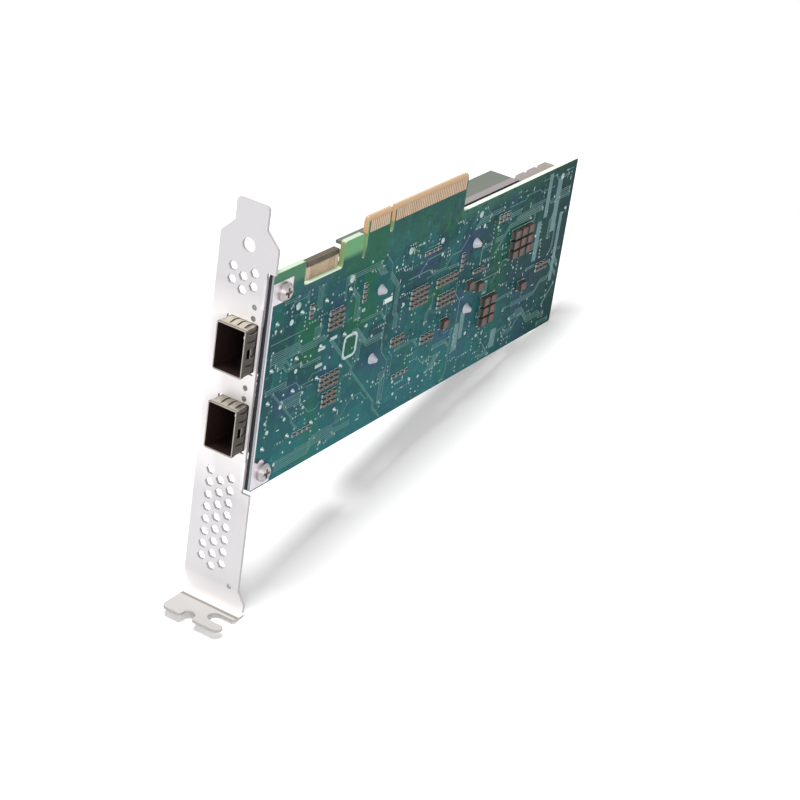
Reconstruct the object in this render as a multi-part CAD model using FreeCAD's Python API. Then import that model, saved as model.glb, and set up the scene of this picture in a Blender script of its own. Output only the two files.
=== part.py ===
import FreeCAD, Part
import math
import os

from FreeCAD import Vector

# Dual-port SFP+ network interface card with its full-height slot bracket.
# Millimetres. Origin: centre of the key slot, on the finger-tip line, at mid-thickness
# of the board. +X runs from the bracket to the free end of the card, +Z points out of
# the card edge (towards the slot that the card plugs into), +Y is the component side.

# --- Circuit board -----------------------------------------------------------------
board_thickness = 1.57
board_height = 68.9            # finger tips to the opposite long edge
card_length = 167.65           # bracket outer face to the free end of the board
key_to_bracket = 57.15         # key slot centre to the bracket outer face
long_edge_setback = 12.0       # finger tips down to the main long edge
near_edge_setback = 4.8        # finger tips down to the edge beside the bracket
near_edge_length = 14.4
lug_setback = 4.4              # finger tips down to the top of the guide lug
lug_width = 9.3
guide_slot_width = 1.3         # between the guide lug and the card edge
board_corner_radius = 0.8
board_inside_radius = 1.0

# --- Card edge ---------------------------------------------------------------------
edge_width = 52.6
key_to_edge_start = 12.6
key_slot_width = 1.9
key_slot_depth = 7.7
edge_corner_radius = 0.6
edge_bevel_height = 1.3
edge_bevel_depth = 0.38
contact_pitch = 1.0
contact_width = 0.7
contact_length = 3.5
contact_thickness = 0.05
contact_key_gap = 0.35         # copper kept back from the key slot and the edge ends

# --- Slot bracket ------------------------------------------------------------------
bracket_length = 120.02
bracket_width = 18.42
bracket_thickness = 0.86
bracket_tip_above_fingers = 13.2
bracket_overhang = 1.0         # past the solder face of the board
bracket_bend_radius = 0.6
bracket_corner_radius = 1.0
tongue_width = 10.16
tongue_inset = 4.1             # from the component-side edge of the bracket
tongue_straight = 6.4
tongue_shoulder = 4.2
tab_depth = 11.43
tab_flare = 2.3                # tab runs past the plate on the solder side
tab_inset = 1.3                # tab stops short of the plate on the component side
tab_flare_height = 7.5
tab_flare_rise = 3.5
screw_notch_width = 4.42
screw_notch_depth = 6.9
screw_notch_from_outer = 5.6
guide_notch_width = 3.8
guide_notch_depth = 3.4
guide_notch_from_side = 8.6
board_notch_clearance = 0.35
tongue_hole_diameter = 4.0
tongue_hole_from_tip = 12.0
pilot_hole_diameter = 1.6
pilot_hole_from_tab = 8.0
pilot_hole_inset = 3.0
ear_length = 9.8
ear_height = 8.8
ear_corner_radius = 1.6
ear_hole_from_bracket = 6.3
ear_hole_diameter = 2.9
upper_ear_drop = 5.9           # ear hole below the board edge beside the bracket
lower_ear_rise = 4.6           # ear hole above the lower long edge

# --- Vents in the bracket ----------------------------------------------------------
vent_size = 2.5                # across flats
vent_pitch = 3.85
vent_column_spacing = 3.45
vent_column_offset = 0.7       # middle column from the tongue centre line
lower_vent_rows = 8
lower_vent_rise = 2.6          # first row above the bottom edge of the board
upper_vent_rows = 2
upper_vent_from_tip = 19.1

# --- Port cages --------------------------------------------------------------------
cage_width = 14.0
cage_height = 9.4
cage_length = 48.7
cage_wall = 0.3
cage_standoff = 1.2            # cage floor above the board
cage_protrusion = 4.9          # mouth in front of the bracket
cage_corner_radius = 0.7
upper_cage_drop = 26.9         # cage centre line below the finger tips
port_pitch = 23.4
window_clearance = 0.45
latch_hole_length = 1.7
latch_hole_width = 4.4
latch_hole_from_mouth = 1.5
cage_floor_opening = 12.5
cage_vent_size = 1.9
cage_vent_pitch = 4.4
cage_vent_columns = 6
cage_vent_rows = 2
cage_vent_start = 14.0
cage_pin_width = 0.7
cage_pin_count = 4
cage_pin_pitch = 11.5
cage_pin_start = 9.5
cage_pin_reach = 0.6           # pin tips past the solder face
pin_hole_clearance = 0.2

# --- Spring collars round the cage mouths ------------------------------------------
collar_thickness = 0.15
collar_band = 0.9
collar_from_mouth = 0.25
finger_width = 1.75
finger_gap = 0.55
finger_bulge = 0.6
finger_length = 4.6
fingers_across_width = 5
fingers_across_height = 3

# --- Port connectors ---------------------------------------------------------------
connector_length = 8.6
connector_width = 11.4
connector_height = 7.0
connector_slot_height = 1.3
connector_slot_width = 9.4
connector_slot_depth = 6.2
connector_slot_rise = 5.0
connector_back_gap = 1.2       # connector to the cage back wall
port_contact_count = 10
port_contact_pitch = 0.8
port_contact_width = 0.4
port_contact_thickness = 0.2

# --- Bracket screws ----------------------------------------------------------------
screw_head_diameter = 5.4
screw_head_height = 1.7
screw_shank_diameter = 2.7
screw_recess_width = 0.8
screw_recess_length = 3.0
screw_recess_depth = 0.8
board_screw_hole_diameter = 3.2

# --- Controller chip and its heat sink ---------------------------------------------
chip_size = 25.0
chip_height = 1.1
chip_lid_size = 21.0
chip_lid_height = 1.3
chip_from_bracket = 82.0
chip_drop = 35.7               # centre below the finger tips
pad_thickness = 0.3
sink_start_from_bracket = 51.8
supply_length = 30.3           # free end of the board left to the supply parts
sink_width = 44.6
sink_base = 2.6
sink_height = 10.0             # base and fins
fin_thickness = 0.9
fin_count = 13
pin_spacing_x = 52.0
pin_spacing_z = 21.5
pin_pocket_diameter = 7.4
push_pin_stem = 2.6
push_pin_head = 6.2
push_pin_head_height = 1.6
push_pin_spring_space = 4.4
push_pin_tip_length = 1.8
push_pin_barb = 3.3
push_pin_hole = 2.9

# --- Power choke beside the bracket ------------------------------------------------
choke_from_bracket = 18.8
choke_length = 14.8
choke_depth = 11.4             # along Z
choke_overhang = 5.3           # past the floor of the board recess
choke_height = 2.2
core_leg = 1.5                 # along Z, at each long side of the bobbin
core_plate = 0.65               # over the bobbin
core_chamfer = 0.3
bobbin_gap = 0.05              # to the core on each side
bobbin_flange = 1.5
winding_thickness = 0.45

# --- Light pipes and status lights -------------------------------------------------
light_pipe_diameter = 1.3
light_pipe_rise = 2.7          # pipe axis above the component face
light_pipe_spacing = 3.2
light_pipe_above_cage = 1.6    # lower pipe axis above the cage side
light_block_from_bracket = 11.5
light_block_length = 3.6
light_block_height = 4.2
light_block_width = 4.9
light_hole_clearance = 0.15
light_chip_size = 1.6
light_chip_height = 0.9

# --- Surface-mounted parts ---------------------------------------------------------
inductor_size = 6.4
inductor_height = 4.9
inductor_chamfer = 1.1
capacitor_can_diameter = 6.3
capacitor_can_height = 5.6
capacitor_foot_height = 0.9
regulator_size = 6.0
regulator_height = 1.0
memory_length = 5.2
memory_width = 3.9
memory_height = 1.6
memory_lead_pitch = 1.27
memory_lead_width = 0.45
memory_lead_reach = 1.0
memory_lead_thickness = 0.25
oscillator_length = 5.0
oscillator_width = 3.2
oscillator_height = 1.2
small_part_length = 1.6
small_part_width = 0.85
small_part_height = 0.8
large_part_length = 3.4
large_part_width = 2.6
large_part_height = 1.5
resistor_length = 1.6
resistor_width = 0.8
resistor_height = 0.45
row_gap = 0.75                 # between neighbours in a row of small parts

# --- Layout of the component side --------------------------------------------------
sink_end_gap = 0.8             # heat sink end to the first inductors
inductor_gap = 0.5
inductor_edge_inset = 0.7      # from the main long edge
can_edge_inset = 1.8           # from the free end of the board
can_top_inset = 6.8            # from the main long edge
can_gap = 1.6
can_count = 4
memory_start = 2.9             # from the heat sink end
memory_gap = 4.0
memory_edge_inset = 5.6        # lead tips to the lower long edge
oscillator_edge_inset = 5.1    # from the lower long edge
decoupling_count = 10
decoupling_gap = 1.9
decoupling_drop = 2.6          # below the heat sink
port_capacitor_count = 4
port_capacitor_gap = 2.0       # behind the cages

# --- Layout of the solder side -----------------------------------------------------
# Parts stand in clusters. Each has a place (distance from the bracket, drop below the
# finger tips) and a count (columns, rows).
small_capacitor_places = [
    (31.5, 24.6), (30.5, 44.2), (33.0, 50.2), (74.5, 31.2), (88.6, 31.8),
    (90.5, 37.5), (66.5, 44.0), (83.5, 48.5), (110.0, 35.0), (151.5, 44.5),
]
small_capacitor_counts = [
    (3, 4), (4, 3), (3, 3), (4, 4), (5, 2), (4, 3), (3, 2), (3, 2), (3, 1), (3, 2),
]
large_capacitor_places = [
    (107.5, 38.5), (113.5, 40.6), (95.0, 47.4), (119.0, 47.2), (132.5, 28.6), (142.0, 48.6),
]
large_capacitor_counts = [(1, 1), (1, 1), (1, 1), (2, 3), (3, 3), (1, 1)]
resistor_places = [
    (21.0, 19.5), (47.5, 21.0), (79.0, 20.5), (121.5, 20.0), (101.5, 27.0), (20.0, 58.0),
    (70.0, 57.0),
]
resistor_counts = [(1, 3), (1, 4), (4, 1), (3, 2), (1, 4), (4, 1), (4, 1)]

# --- Values worked out from the sizes ----------------------------------------------
component_face = board_thickness / 2
solder_face = -board_thickness / 2
bracket_face = -key_to_bracket
bracket_back = bracket_face + bracket_thickness
board_start = bracket_back + board_notch_clearance
board_end = bracket_face + card_length
board_bottom = -board_height
main_edge = -long_edge_setback
near_edge = -near_edge_setback
lug_edge = -lug_setback
edge_start = -key_to_edge_start
edge_end = edge_start + edge_width
lug_end = edge_start - guide_slot_width
lug_start = lug_end - lug_width
near_edge_end = board_start + near_edge_length
bracket_tip = bracket_tip_above_fingers
bracket_foot = bracket_tip - bracket_length
bracket_solder_edge = solder_face - bracket_overhang
bracket_component_edge = bracket_solder_edge + bracket_width
tongue_high = bracket_component_edge - tongue_inset
tongue_low = tongue_high - tongue_width
tongue_centre = (tongue_high + tongue_low) / 2
tab_low = bracket_solder_edge - tab_flare
tab_high = bracket_component_edge - tab_inset
cage_floor = component_face + cage_standoff
cage_roof = cage_floor + cage_height
cage_mouth = bracket_face - cage_protrusion
cage_back = cage_mouth + cage_length
upper_port = -upper_cage_drop
lower_port = upper_port - port_pitch
upper_ear = near_edge - upper_ear_drop
lower_ear = board_bottom + lower_ear_rise
ear_hole_x = bracket_face + ear_hole_from_bracket
chip_x = bracket_face + chip_from_bracket
chip_z = -chip_drop
chip_top = component_face + chip_height + chip_lid_height
sink_floor = chip_top + pad_thickness
sink_start = bracket_face + sink_start_from_bracket
sink_end = board_end - supply_length
sink_low = chip_z - sink_width / 2
sink_high = chip_z + sink_width / 2


def box(x0, x1, y0, y1, z0, z1):
    """Box between two values along each axis."""
    return Part.makeBox(x1 - x0, y1 - y0, z1 - z0, Vector(x0, y0, z0))


def cylinder_y(x, z, y0, y1, diameter):
    """Cylinder along Y, centred on x and z."""
    return Part.makeCylinder(diameter / 2, y1 - y0, Vector(x, y0, z), Vector(0, 1, 0))


def cylinder_x(y, z, x0, x1, diameter):
    """Cylinder along X, centred on y and z."""
    return Part.makeCylinder(diameter / 2, x1 - x0, Vector(x0, y, z), Vector(1, 0, 0))


def rounded_face(corners, place):
    """Face inside corner points (a, b, radius); place turns a and b into a point."""
    points = [place(a, b) for a, b, radius in corners]
    edges = []
    first = None
    last = None
    for index, (a, b, radius) in enumerate(corners):
        corner = points[index]
        to_previous = (points[index - 1] - corner).normalize()
        to_next = (points[(index + 1) % len(points)] - corner).normalize()
        half_angle = to_previous.getAngle(to_next) / 2
        reach = radius / math.tan(half_angle)
        start = corner + to_previous * reach
        end = corner + to_next * reach
        if last is not None and (start - last).Length > 1e-6:
            edges.append(Part.LineSegment(last, start).toShape())
        if first is None:
            first = start
        if radius > 0:
            inward = (to_previous + to_next).normalize()
            middle = corner + inward * (radius / math.sin(half_angle) - radius)
            edges.append(Part.Arc(start, middle, end).toShape())
        last = end
    if (first - last).Length > 1e-6:
        edges.append(Part.LineSegment(last, first).toShape())
    return Part.Face(Part.Wire(edges))


def prism_y(corners, y0, y1):
    """Rounded outline in x and z, from y0 to y1."""
    face = rounded_face(corners, lambda x, z: Vector(x, y0, z))
    return face.extrude(Vector(0, y1 - y0, 0))


def prism_x(corners, x0, x1):
    """Rounded outline in y and z, from x0 to x1."""
    face = rounded_face(corners, lambda y, z: Vector(x0, y, z))
    return face.extrude(Vector(x1 - x0, 0, 0))


def prism_z(corners, z0, z1):
    """Rounded outline in x and y, from z0 to z1."""
    face = rounded_face(corners, lambda x, y: Vector(x, y, z0))
    return face.extrude(Vector(0, 0, z1 - z0))


def rectangle(a0, a1, b0, b1, radius):
    """Four corner points of a rectangle, all rounded alike."""
    return [(a0, b0, radius), (a1, b0, radius), (a1, b1, radius), (a0, b1, radius)]


def hexagon(a, b, across_flats):
    """Six corner points of a hexagon with a corner at each end of the first axis."""
    radius = across_flats / math.sqrt(3)
    angles = [math.radians(60 * step) for step in range(6)]
    return [(a + radius * math.cos(t), b + radius * math.sin(t), 0) for t in angles]


def chamfered_square(a, b, half, cut):
    """Eight corner points of a square with its corners cut off."""
    near = half - cut
    offsets = [(-near, -half), (near, -half), (half, -near), (half, near),
               (near, half), (-near, half), (-half, near), (-half, -near)]
    return [(a + da, b + db, 0) for da, db in offsets]


def sunk(shape, cutters):
    """Shape with every cutter taken out of it."""
    return shape.cut(Part.makeCompound(cutters)) if cutters else shape


def cage_pin_places(port_z):
    """Centres of the press-fit pins of one cage, as (x, z)."""
    places = []
    for side in (-1, 1):
        z = port_z + side * (cage_width / 2 - cage_wall / 2)
        for index in range(cage_pin_count):
            places.append((cage_mouth + cage_pin_start + index * cage_pin_pitch, z))
    return places


def push_pin_places():
    """Centres of the four heat sink push pins, as (x, z)."""
    half_x = pin_spacing_x / 2
    half_z = pin_spacing_z / 2
    return [(chip_x + i * half_x, chip_z + j * half_z) for i in (-1, 1) for j in (-1, 1)]


def circuit_board():
    """Board with its card edge, key slot, recess, guide lug and holes."""
    round_out = board_corner_radius
    round_in = board_inside_radius
    outline = [
        (board_start, board_bottom, round_out),
        (board_end, board_bottom, round_out),
        (board_end, main_edge, round_out),
        (edge_end, main_edge, round_in),
        (edge_end, 0, edge_corner_radius),
        (key_slot_width / 2, 0, 0),
        (key_slot_width / 2, -key_slot_depth, key_slot_width / 2),
        (-key_slot_width / 2, -key_slot_depth, key_slot_width / 2),
        (-key_slot_width / 2, 0, 0),
        (edge_start, 0, edge_corner_radius),
        (edge_start, main_edge, guide_slot_width / 2),
        (lug_end, main_edge, guide_slot_width / 2),
        (lug_end, lug_edge, round_out),
        (lug_start, lug_edge, round_out),
        (lug_start, main_edge, round_in),
        (near_edge_end, main_edge, round_in),
        (near_edge_end, near_edge, round_out),
        (board_start, near_edge, round_out),
    ]
    board = prism_y(outline, solder_face, component_face)
    cutters = []
    for face, side in ((component_face, -1), (solder_face, 1)):
        bevel = [(face, -edge_bevel_height, 0), (face + side * edge_bevel_depth, 0, 0)]
        bevel.append((face - side, 0, 0))
        cutters.append(prism_x(bevel, edge_start, edge_end))
    for z in (upper_ear, lower_ear):
        cutters.append(board_hole(ear_hole_x, z, board_screw_hole_diameter))
    for x, z in push_pin_places():
        cutters.append(board_hole(x, z, push_pin_hole))
    for port_z in (upper_port, lower_port):
        half = (cage_pin_width + pin_hole_clearance) / 2
        for x, z in cage_pin_places(port_z):
            cutters.append(box(x - half, x + half, solder_face, component_face, z - half, z + half))
    return sunk(board, cutters)


def board_hole(x, z, diameter):
    """Round cutter through the board."""
    return cylinder_y(x, z, solder_face, component_face, diameter)


def edge_contacts(face, outward):
    """Contacts on one face, left out beside the key slot and at the edge ends."""
    contacts = []
    middle_gap = key_slot_width / 2 + contact_key_gap + contact_width / 2
    end_gap = contact_key_gap + contact_width / 2
    count = int(edge_width / contact_pitch) + 1
    top = -edge_bevel_height
    bottom = top - contact_length
    low = min(face, face + outward * contact_thickness)
    high = max(face, face + outward * contact_thickness)
    for index in range(count):
        x = edge_start + (index + 0.5) * contact_pitch
        if abs(x) < middle_gap or x < edge_start + end_gap or x > edge_end - end_gap:
            continue
        half = contact_width / 2
        contacts.append(box(x - half, x + half, low, high, bottom, top))
    return Part.makeCompound(contacts)


def bracket_profile():
    """Side section of the folded sheet: plate, bend and tab, as (x, z, radius)."""
    outer_radius = bracket_bend_radius + bracket_thickness
    return [
        (bracket_face, bracket_tip, 0),
        (bracket_back, bracket_tip, 0),
        (bracket_back, bracket_foot, outer_radius),
        (bracket_face - tab_depth, bracket_foot, 0),
        (bracket_face - tab_depth, bracket_foot + bracket_thickness, 0),
        (bracket_face, bracket_foot + bracket_thickness, bracket_bend_radius),
    ]


def bracket_front_outline():
    """Front view of the bracket: tongue, shoulders, board notch and tab flare."""
    shoulder_start = bracket_tip - tongue_straight
    shoulder_end = shoulder_start - tongue_shoulder
    notch_top = near_edge + board_notch_clearance
    notch_bottom = board_bottom - board_notch_clearance
    flare_top = bracket_foot + tab_flare_height
    flare_bottom = flare_top - tab_flare_rise
    round_out = bracket_corner_radius
    return [
        (tongue_low, bracket_tip, round_out),
        (tongue_low, shoulder_start, 0),
        (bracket_solder_edge, shoulder_end, round_out),
        (bracket_solder_edge, notch_top, 0),
        (component_face, notch_top, 0),
        (component_face, notch_bottom, 0),
        (bracket_solder_edge, notch_bottom, 0),
        (bracket_solder_edge, flare_top, 0),
        (tab_low, flare_bottom, 0),
        (tab_low, bracket_foot, 0),
        (tab_high, bracket_foot, 0),
        (tab_high, flare_bottom, 0),
        (bracket_component_edge, flare_top, 0),
        (bracket_component_edge, shoulder_end, round_out),
        (tongue_high, shoulder_start, 0),
        (tongue_high, bracket_tip, round_out),
    ]


def tab_outline():
    """Top view of the tab with its screw notch and guide notch."""
    outer = bracket_face - tab_depth
    screw_x = outer + screw_notch_from_outer
    screw_half = screw_notch_width / 2
    screw_end = tab_low + screw_notch_depth
    guide_y = tab_high - guide_notch_from_side
    guide_half = guide_notch_width / 2
    guide_end = outer + guide_notch_depth
    lobe = bracket_corner_radius * 2
    return [
        (bracket_back, tab_low, 0),
        (screw_x + screw_half, tab_low, bracket_corner_radius),
        (screw_x + screw_half, screw_end, screw_half),
        (screw_x - screw_half, screw_end, screw_half),
        (screw_x - screw_half, tab_low, bracket_corner_radius),
        (outer, tab_low, lobe),
        (outer, guide_y - guide_half, bracket_corner_radius),
        (guide_end, guide_y - guide_half, guide_half),
        (guide_end, guide_y + guide_half, guide_half),
        (outer, guide_y + guide_half, bracket_corner_radius),
        (outer, tab_high, lobe),
        (bracket_face - bracket_bend_radius, tab_high, 0),
        (bracket_face - bracket_bend_radius, bracket_component_edge, 0),
        (bracket_back, bracket_component_edge, 0),
    ]


def bracket_ear(z):
    """Folded ear that lies on the component face, with its screw hole."""
    low = component_face
    high = low + bracket_thickness
    half = ear_height / 2
    fold = bracket_thickness
    section = [
        (bracket_face, high + fold, 0),
        (bracket_face, low, fold),
        (bracket_back + ear_length, low, 0),
        (bracket_back + ear_length, high, 0),
        (bracket_back, high, 0),
        (bracket_back, high + fold, 0),
    ]
    ear = prism_z(section, z - half, z + half)
    end = bracket_back + ear_length
    view = rectangle(bracket_face, end, z - half, z + half, ear_corner_radius)
    view[0] = (bracket_face, z - half, 0)
    view[3] = (bracket_face, z + half, 0)
    ear = ear.common(prism_y(view, low, high + fold))
    return ear.cut(cylinder_y(ear_hole_x, z, low, high, ear_hole_diameter))


def light_pipe_places(port_z):
    """Heights of the two light pipes beside one cage."""
    first = port_z + cage_width / 2 + light_pipe_above_cage
    return [first, first + light_pipe_spacing]


def bracket_cutters():
    """Windows, vents and small holes through the bracket plate."""
    x0 = bracket_face
    x1 = bracket_back
    cutters = []
    for port_z in (upper_port, lower_port):
        half = cage_width / 2 + window_clearance
        low = cage_floor - window_clearance
        high = cage_roof + window_clearance
        window = rectangle(low, high, port_z - half, port_z + half, cage_corner_radius)
        cutters.append(prism_x(window, x0, x1))
        y = component_face + light_pipe_rise
        hole = light_pipe_diameter + 2 * light_hole_clearance
        for z in light_pipe_places(port_z):
            cutters.append(cylinder_x(y, z, x0, x1, hole))
    lower_top = board_bottom + lower_vent_rise
    upper_top = bracket_tip - upper_vent_from_tip
    for top, rows in ((lower_top, lower_vent_rows), (upper_top, upper_vent_rows)):
        for column in (-1, 0, 1):
            y = tongue_centre + vent_column_offset + column * vent_column_spacing
            drop = vent_pitch / 2 if column == 0 else 0
            for row in range(rows):
                z = top + vent_pitch - drop - (row + 1) * vent_pitch
                cutters.append(prism_x(hexagon(y, z, vent_size), x0, x1))
    z = bracket_tip - tongue_hole_from_tip
    cutters.append(cylinder_x(tongue_centre, z, x0, x1, tongue_hole_diameter))
    y = bracket_solder_edge + pilot_hole_inset
    z = bracket_foot + pilot_hole_from_tab
    cutters.append(cylinder_x(y, z, x0, x1, pilot_hole_diameter))
    return cutters


def bracket():
    """Slot bracket, folded from one sheet."""
    sheet = prism_y(bracket_profile(), tab_low, bracket_component_edge)
    front = prism_x(bracket_front_outline(), bracket_face - tab_depth, bracket_back)
    top = prism_z(tab_outline(), bracket_foot, bracket_tip)
    plate = sheet.common(front).common(top)
    plate = sunk(plate, bracket_cutters())
    fold = bracket_thickness
    for z in (upper_ear, lower_ear):
        low = z - ear_height / 2
        high = z + ear_height / 2
        seat = component_face + bracket_thickness + fold
        plate = plate.cut(box(bracket_face, bracket_back, component_face, seat, low, high))
        plate = plate.fuse(bracket_ear(z))
    return plate.removeSplitter()


def bracket_screws():
    """Two pan-head screws from the solder side into the bracket ears."""
    screws = []
    head_top = solder_face - screw_head_height
    for z in (upper_ear, lower_ear):
        head = cylinder_y(ear_hole_x, z, head_top, solder_face, screw_head_diameter)
        rim = [edge for edge in head.Edges if edge.BoundBox.YMax < solder_face - screw_head_height / 2]
        head = head.makeChamfer(screw_head_height / 2, rim)
        half = screw_recess_width / 2
        reach = screw_recess_length / 2
        floor = head_top + screw_recess_depth
        slot = box(ear_hole_x - reach, ear_hole_x + reach, head_top, floor, z - half, z + half)
        cross = box(ear_hole_x - half, ear_hole_x + half, head_top, floor, z - reach, z + reach)
        shank_end = component_face + bracket_thickness
        shank = cylinder_y(ear_hole_x, z, solder_face, shank_end, screw_shank_diameter)
        screws.append(head.fuse(shank).cut(slot).cut(cross).removeSplitter())
    return Part.makeCompound(screws)


def port_cage(port_z):
    """Folded cage: tube, back wall, latch hole, vents, skirts and press-fit pins."""
    half = cage_width / 2
    outer = rectangle(cage_floor, cage_roof, port_z - half, port_z + half, cage_corner_radius)
    inner_half = half - cage_wall
    inner_radius = cage_corner_radius - cage_wall
    low = cage_floor + cage_wall
    high = cage_roof - cage_wall
    inner = rectangle(low, high, port_z - inner_half, port_z + inner_half, inner_radius)
    cage = prism_x(outer, cage_mouth, cage_back)
    cutters = [prism_x(inner, cage_mouth, cage_back - cage_wall)]
    latch_start = cage_mouth + latch_hole_from_mouth
    latch_end = latch_start + latch_hole_length
    reach = latch_hole_width / 2
    cutters.append(box(latch_start, latch_end, cage_floor, low, port_z - reach, port_z + reach))
    opening_start = cage_back - cage_wall - cage_floor_opening
    cutters.append(box(opening_start, cage_back - cage_wall, cage_floor, low,
                       port_z - inner_half + inner_radius, port_z + inner_half - inner_radius))
    for column in range(cage_vent_columns):
        x = cage_mouth + cage_vent_start + column * cage_vent_pitch
        for row in range(cage_vent_rows):
            z = port_z + (row - (cage_vent_rows - 1) / 2) * cage_vent_pitch
            cutters.append(prism_y(hexagon(x, z, cage_vent_size), high, cage_roof))
    cage = sunk(cage, cutters)
    skirt_start = bracket_back + window_clearance
    skirt_top = cage_floor + cage_corner_radius
    pin_tip = solder_face - cage_pin_reach
    for side in (-1, 1):
        z0 = min(port_z + side * half, port_z + side * inner_half)
        skirt = box(skirt_start, cage_back, component_face, skirt_top, z0, z0 + cage_wall)
        cage = cage.fuse(skirt)
    half_pin = cage_pin_width / 2
    for x, z in cage_pin_places(port_z):
        pin = box(x - half_pin, x + half_pin, pin_tip, component_face + cage_wall,
                  z - cage_wall / 2, z + cage_wall / 2)
        cage = cage.fuse(pin)
    return cage.removeSplitter()


def finger_section():
    """Side section of one spring finger as (distance back, distance out)."""
    start = collar_from_mouth + collar_band / 2
    end = start + finger_length
    crest = start + finger_length / 2
    t = collar_thickness
    return [(start, 0), (start, t), (crest, finger_bulge), (end, t), (end, 0),
            (crest, finger_bulge - t)]


def spring_collar(port_z):
    """Band round the cage mouth with spring fingers that bear on the bracket window."""
    half = cage_width / 2
    t = collar_thickness
    x0 = cage_mouth + collar_from_mouth
    x1 = x0 + collar_band
    inner = rectangle(cage_floor, cage_roof, port_z - half, port_z + half, cage_corner_radius)
    outer = rectangle(cage_floor - t, cage_roof + t, port_z - half - t, port_z + half + t,
                      cage_corner_radius + t)
    collar = prism_x(outer, x0, x1).cut(prism_x(inner, x0, x1))
    fingers = []
    step = finger_width + finger_gap
    latch_reach = latch_hole_width / 2
    for index in range(fingers_across_width):
        z = port_z + (index - (fingers_across_width - 1) / 2) * step
        z0 = z - finger_width / 2
        for face, outward in ((cage_roof, 1), (cage_floor, -1)):
            if outward < 0 and abs(z - port_z) < latch_reach:
                continue
            points = [Vector(cage_mouth + a, face + outward * b, z0) for a, b in finger_section()]
            fingers.append(extruded(points, Vector(0, 0, finger_width)))
    middle = (cage_floor + cage_roof) / 2
    for index in range(fingers_across_height):
        y0 = middle + (index - (fingers_across_height - 1) / 2) * step - finger_width / 2
        for face, outward in ((port_z + half, 1), (port_z - half, -1)):
            points = [Vector(cage_mouth + a, y0, face + outward * b) for a, b in finger_section()]
            fingers.append(extruded(points, Vector(0, finger_width, 0)))
    return collar.fuse(fingers).removeSplitter()


def extruded(points, direction):
    """Prism over a plain closed polygon."""
    wire = Part.makePolygon(points + [points[0]])
    return Part.Face(wire).extrude(direction)


def connector_span():
    """Start and end of a port connector along X."""
    end = cage_back - cage_wall - connector_back_gap
    return end - connector_length, end


def port_connector(port_z):
    """Moulded connector with its plug slot."""
    x0, x1 = connector_span()
    half = connector_width / 2
    top = component_face + connector_height
    body = box(x0, x1, component_face, top, port_z - half, port_z + half)
    slot_half = connector_slot_width / 2
    y0 = component_face + connector_slot_rise - connector_slot_height / 2
    slot = box(x0, x0 + connector_slot_depth, y0, y0 + connector_slot_height,
               port_z - slot_half, port_z + slot_half)
    return body.cut(slot)


def port_connector_contacts():
    """Contacts on both walls of the plug slots."""
    contacts = []
    x0, x1 = connector_span()
    y_low = component_face + connector_slot_rise - connector_slot_height / 2
    y_high = y_low + connector_slot_height
    t = port_contact_thickness
    half = port_contact_width / 2
    for port_z in (upper_port, lower_port):
        for index in range(port_contact_count):
            z = port_z + (index - (port_contact_count - 1) / 2) * port_contact_pitch
            for low in (y_low, y_high - t):
                contacts.append(box(x0, x0 + connector_slot_depth, low, low + t,
                                    z - half, z + half))
    return Part.makeCompound(contacts)


def controller_chip():
    """Ball-grid package with its metal lid."""
    half = chip_size / 2
    lid = chip_lid_size / 2
    base_top = component_face + chip_height
    base = box(chip_x - half, chip_x + half, component_face, base_top, chip_z - half, chip_z + half)
    cover = box(chip_x - lid, chip_x + lid, base_top, chip_top, chip_z - lid, chip_z + lid)
    return base.fuse(cover).removeSplitter()


def thermal_pad():
    """Pad between the chip lid and the heat sink."""
    half = chip_lid_size / 2
    return box(chip_x - half, chip_x + half, chip_top, sink_floor, chip_z - half, chip_z + half)


def heat_sink():
    """Extruded heat sink: base, fins along X and pockets for the push pins."""
    base_top = sink_floor + sink_base
    top = sink_floor + sink_height
    pitch = (sink_width - fin_thickness) / (fin_count - 1)
    outline = [(sink_floor, sink_low, 0), (sink_floor, sink_high, 0)]
    for index in range(fin_count):
        z = sink_high - index * pitch
        outline.append((top, z, 0))
        outline.append((top, z - fin_thickness, 0))
        if index < fin_count - 1:
            outline.append((base_top, z - fin_thickness, 0))
            outline.append((base_top, z - pitch, 0))
    sink = prism_x(outline, sink_start, sink_end)
    cutters = []
    for x, z in push_pin_places():
        cutters.append(cylinder_y(x, z, base_top, top, pin_pocket_diameter))
        cutters.append(cylinder_y(x, z, sink_floor, base_top, push_pin_hole))
    return sunk(sink, cutters)


def heat_sink_push_pins():
    """Four push pins through the heat sink base and the board, barbed at the tip."""
    base_top = sink_floor + sink_base
    head_low = base_top + push_pin_spring_space
    head_high = head_low + push_pin_head_height
    tip = solder_face - push_pin_tip_length
    stem = push_pin_stem / 2
    section = [
        (0, head_high), (push_pin_head / 2, head_high), (push_pin_head / 2, head_low),
        (stem, head_low), (stem, solder_face), (push_pin_barb / 2, solder_face),
        (stem / 2, tip), (0, tip),
    ]
    pins = []
    for x, z in push_pin_places():
        points = [Vector(x + r, y, z) for r, y in section]
        face = Part.Face(Part.makePolygon(points + [points[0]]))
        pins.append(face.revolve(Vector(x, 0, z), Vector(0, 1, 0), 360))
    return Part.makeCompound(pins)


def choke_span():
    """Bounds of the choke along X and Z."""
    x0 = bracket_face + choke_from_bracket
    z1 = main_edge + choke_overhang
    return x0, x0 + choke_length, z1 - choke_depth, z1


def bobbin_span():
    """Bounds of the bobbin along Z and Y, between the legs of the core."""
    z0, z1 = choke_span()[2:]
    inset = core_leg + bobbin_gap
    top = component_face + choke_height - core_plate - bobbin_gap
    return z0 + inset, z1 - inset, component_face, top


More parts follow.
